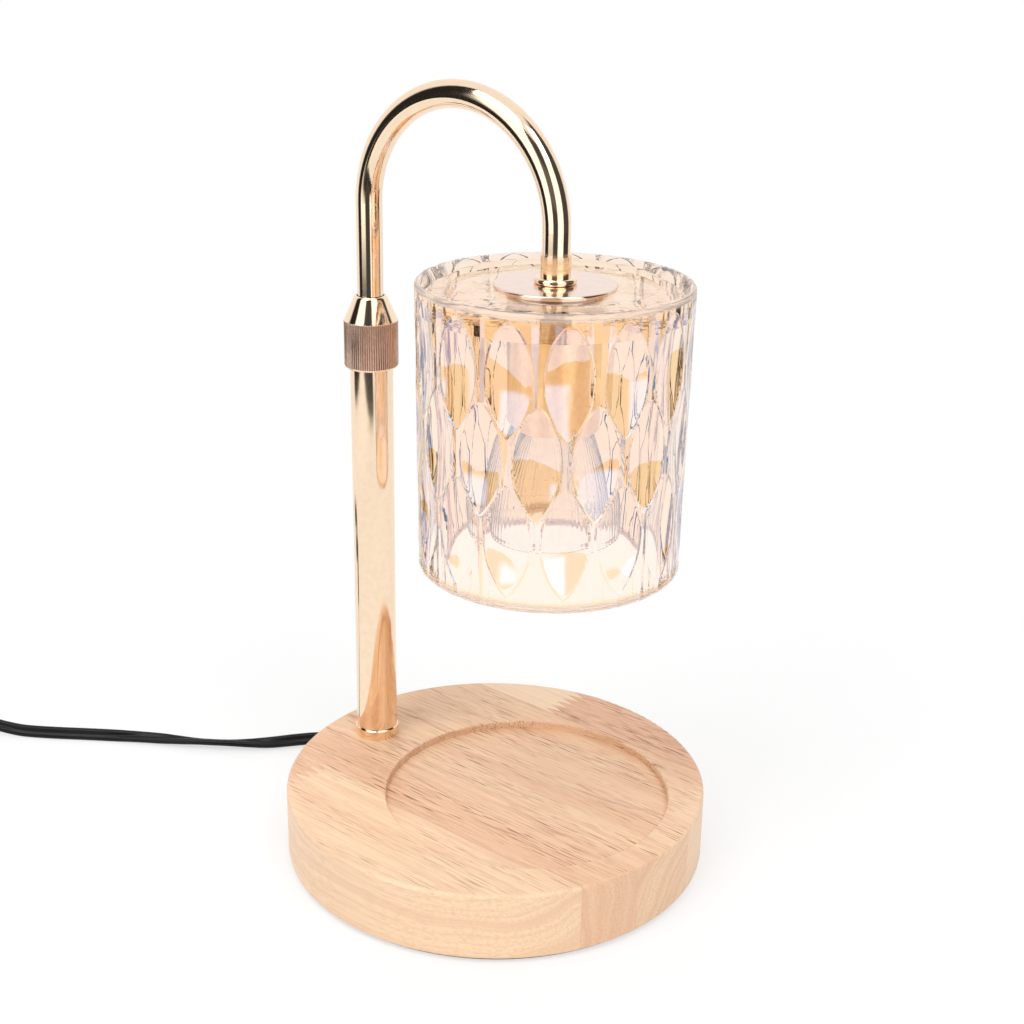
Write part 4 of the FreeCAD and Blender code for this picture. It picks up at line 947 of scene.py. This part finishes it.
def light_room():
    """A white studio: plain white behind and above, dark gaps and bright panels in front."""
    world = bpy.data.worlds.new("studio")
    bpy.context.scene.world = world
    finish = Finish(world)
    ahead = finish.node("ShaderNodeTexCoord", output="Generated")
    x, y, z = finish.split(ahead)
    near = x * math.cos(FACING) + y * math.sin(FACING)
    right = y * math.cos(FACING) - x * math.sin(FACING)
    azimuth = near.maths("ARCTAN2", right, near) * math.degrees(1)
    elevation = z.maths("ARCSINE", z) * math.degrees(1)
    behind = abs(azimuth - FRONT_MIDDLE).step(*FRONT_ENDS)
    above = elevation.step(*CEILING_STARTS)
    level = behind.maths("MAXIMUM", behind, above)
    for low, high, floor, ceiling, strength in PANELS:
        panel = azimuth.within(low, high, 4.0) * elevation.within(floor, ceiling, 2.0) * strength
        level = level.maths("MAXIMUM", level, panel)
    path = finish.node("ShaderNodeLightPath").socket.node.outputs
    seen = Value(finish, path["Is Camera Ray"])
    through = Value(finish, path["Is Transmission Ray"])
    gap = finish.blend(through, DARK_GAP, AMBER_GAP)
    share = level.maths("MINIMUM", level, 1.0)
    colour = finish.blend(share, gap, grey(1.0))
    strength = level.maths("MAXIMUM", level, 1.0)
    light = finish.node("ShaderNodeBackground", inputs={"Color": colour, "Strength": strength})
    white = finish.node("ShaderNodeBackground", inputs={"Color": grey(1.0), "Strength": 1.0})
    return finish.done(finish.mixed(seen, light, white))


def table_top():
    """White table that keeps a soft shadow close to the lamp."""
    shadow_fades = (0.12, 0.42)
    mirror_fades = (0.36, 0.50)
    finish = new_finish("table_top")
    x, y, z = finish.split(finish.place())
    flat = finish.join(x, y, 0.0)
    far = finish.node("ShaderNodeVectorMath", {"operation": "LENGTH"}, (flat,), output="Value")
    path = finish.node("ShaderNodeLightPath").socket.node.outputs
    seen = Value(finish, path["Is Camera Ray"])
    glossy = Value(finish, path["Is Glossy Ray"])
    through = Value(finish, path["Is Transmission Ray"])
    mirrored = glossy * (1 - far.step(*mirror_fades) * 0.6)
    glow = through.maths("MAXIMUM", seen.maths("MAXIMUM", seen, mirrored), through)
    share = glow * (0.62 + far.step(*shadow_fades) * 0.38)
    matt = finish.node("ShaderNodeBsdfDiffuse", inputs={"Color": grey(0.92)})
    white = finish.node("ShaderNodeEmission", inputs={"Color": grey(1.0), "Strength": 1.0})
    return finish.done(finish.mixed(share, matt, white))


def lay_table():
    """A white table that ends a little in front of the lamp, where the darker room begins."""
    bpy.ops.object.select_all(action="DESELECT")
    bpy.ops.mesh.primitive_plane_add(size=1.0)
    table = bpy.context.object
    table.name = "table"
    bpy.ops.object.mode_set(mode="EDIT")
    bpy.ops.mesh.select_all(action="SELECT")
    reach = (TABLE_FRONT + TABLE_BACK, TABLE_SIDE * 2, 1)
    bpy.ops.transform.resize(value=reach, center_override=(0, 0, 0))
    bpy.ops.transform.translate(value=((TABLE_FRONT - TABLE_BACK) / 2, 0, 0))
    bpy.ops.object.mode_set(mode="OBJECT")
    table.rotation_euler.z = FACING
    bpy.ops.object.transform_apply(location=True, rotation=True, scale=True)
    table.data.materials.append(table_top())


def softbox(name, azimuth, elevation, distance, size, power):
    """A square light that looks at the middle of the lamp from an azimuth off the viewer's side."""
    angle = FACING + math.radians(azimuth)
    rise = math.radians(elevation)
    aim = Vector((0.0, 0.0, 0.12))
    away = Vector((math.cos(angle) * math.cos(rise), math.sin(angle) * math.cos(rise), math.sin(rise)))
    data = bpy.data.lights.new(name, "AREA")
    data.shape = "RECTANGLE"
    data.size = size
    data.size_y = size
    data.energy = power
    lamp = bpy.data.objects.new(name, data)
    lamp.location = aim + away * distance
    lamp.rotation_mode = "QUATERNION"
    lamp.rotation_quaternion = away.to_track_quat("Z", "Y")
    bpy.context.scene.collection.objects.link(lamp)


light_room()
lay_table()
softbox("softbox_left", azimuth=-48, elevation=58, distance=1.2, size=0.7, power=5.0)
softbox("softbox_right", azimuth=40, elevation=55, distance=1.3, size=0.6, power=3.0)

bpy.context.scene.view_settings.view_transform = "Standard"
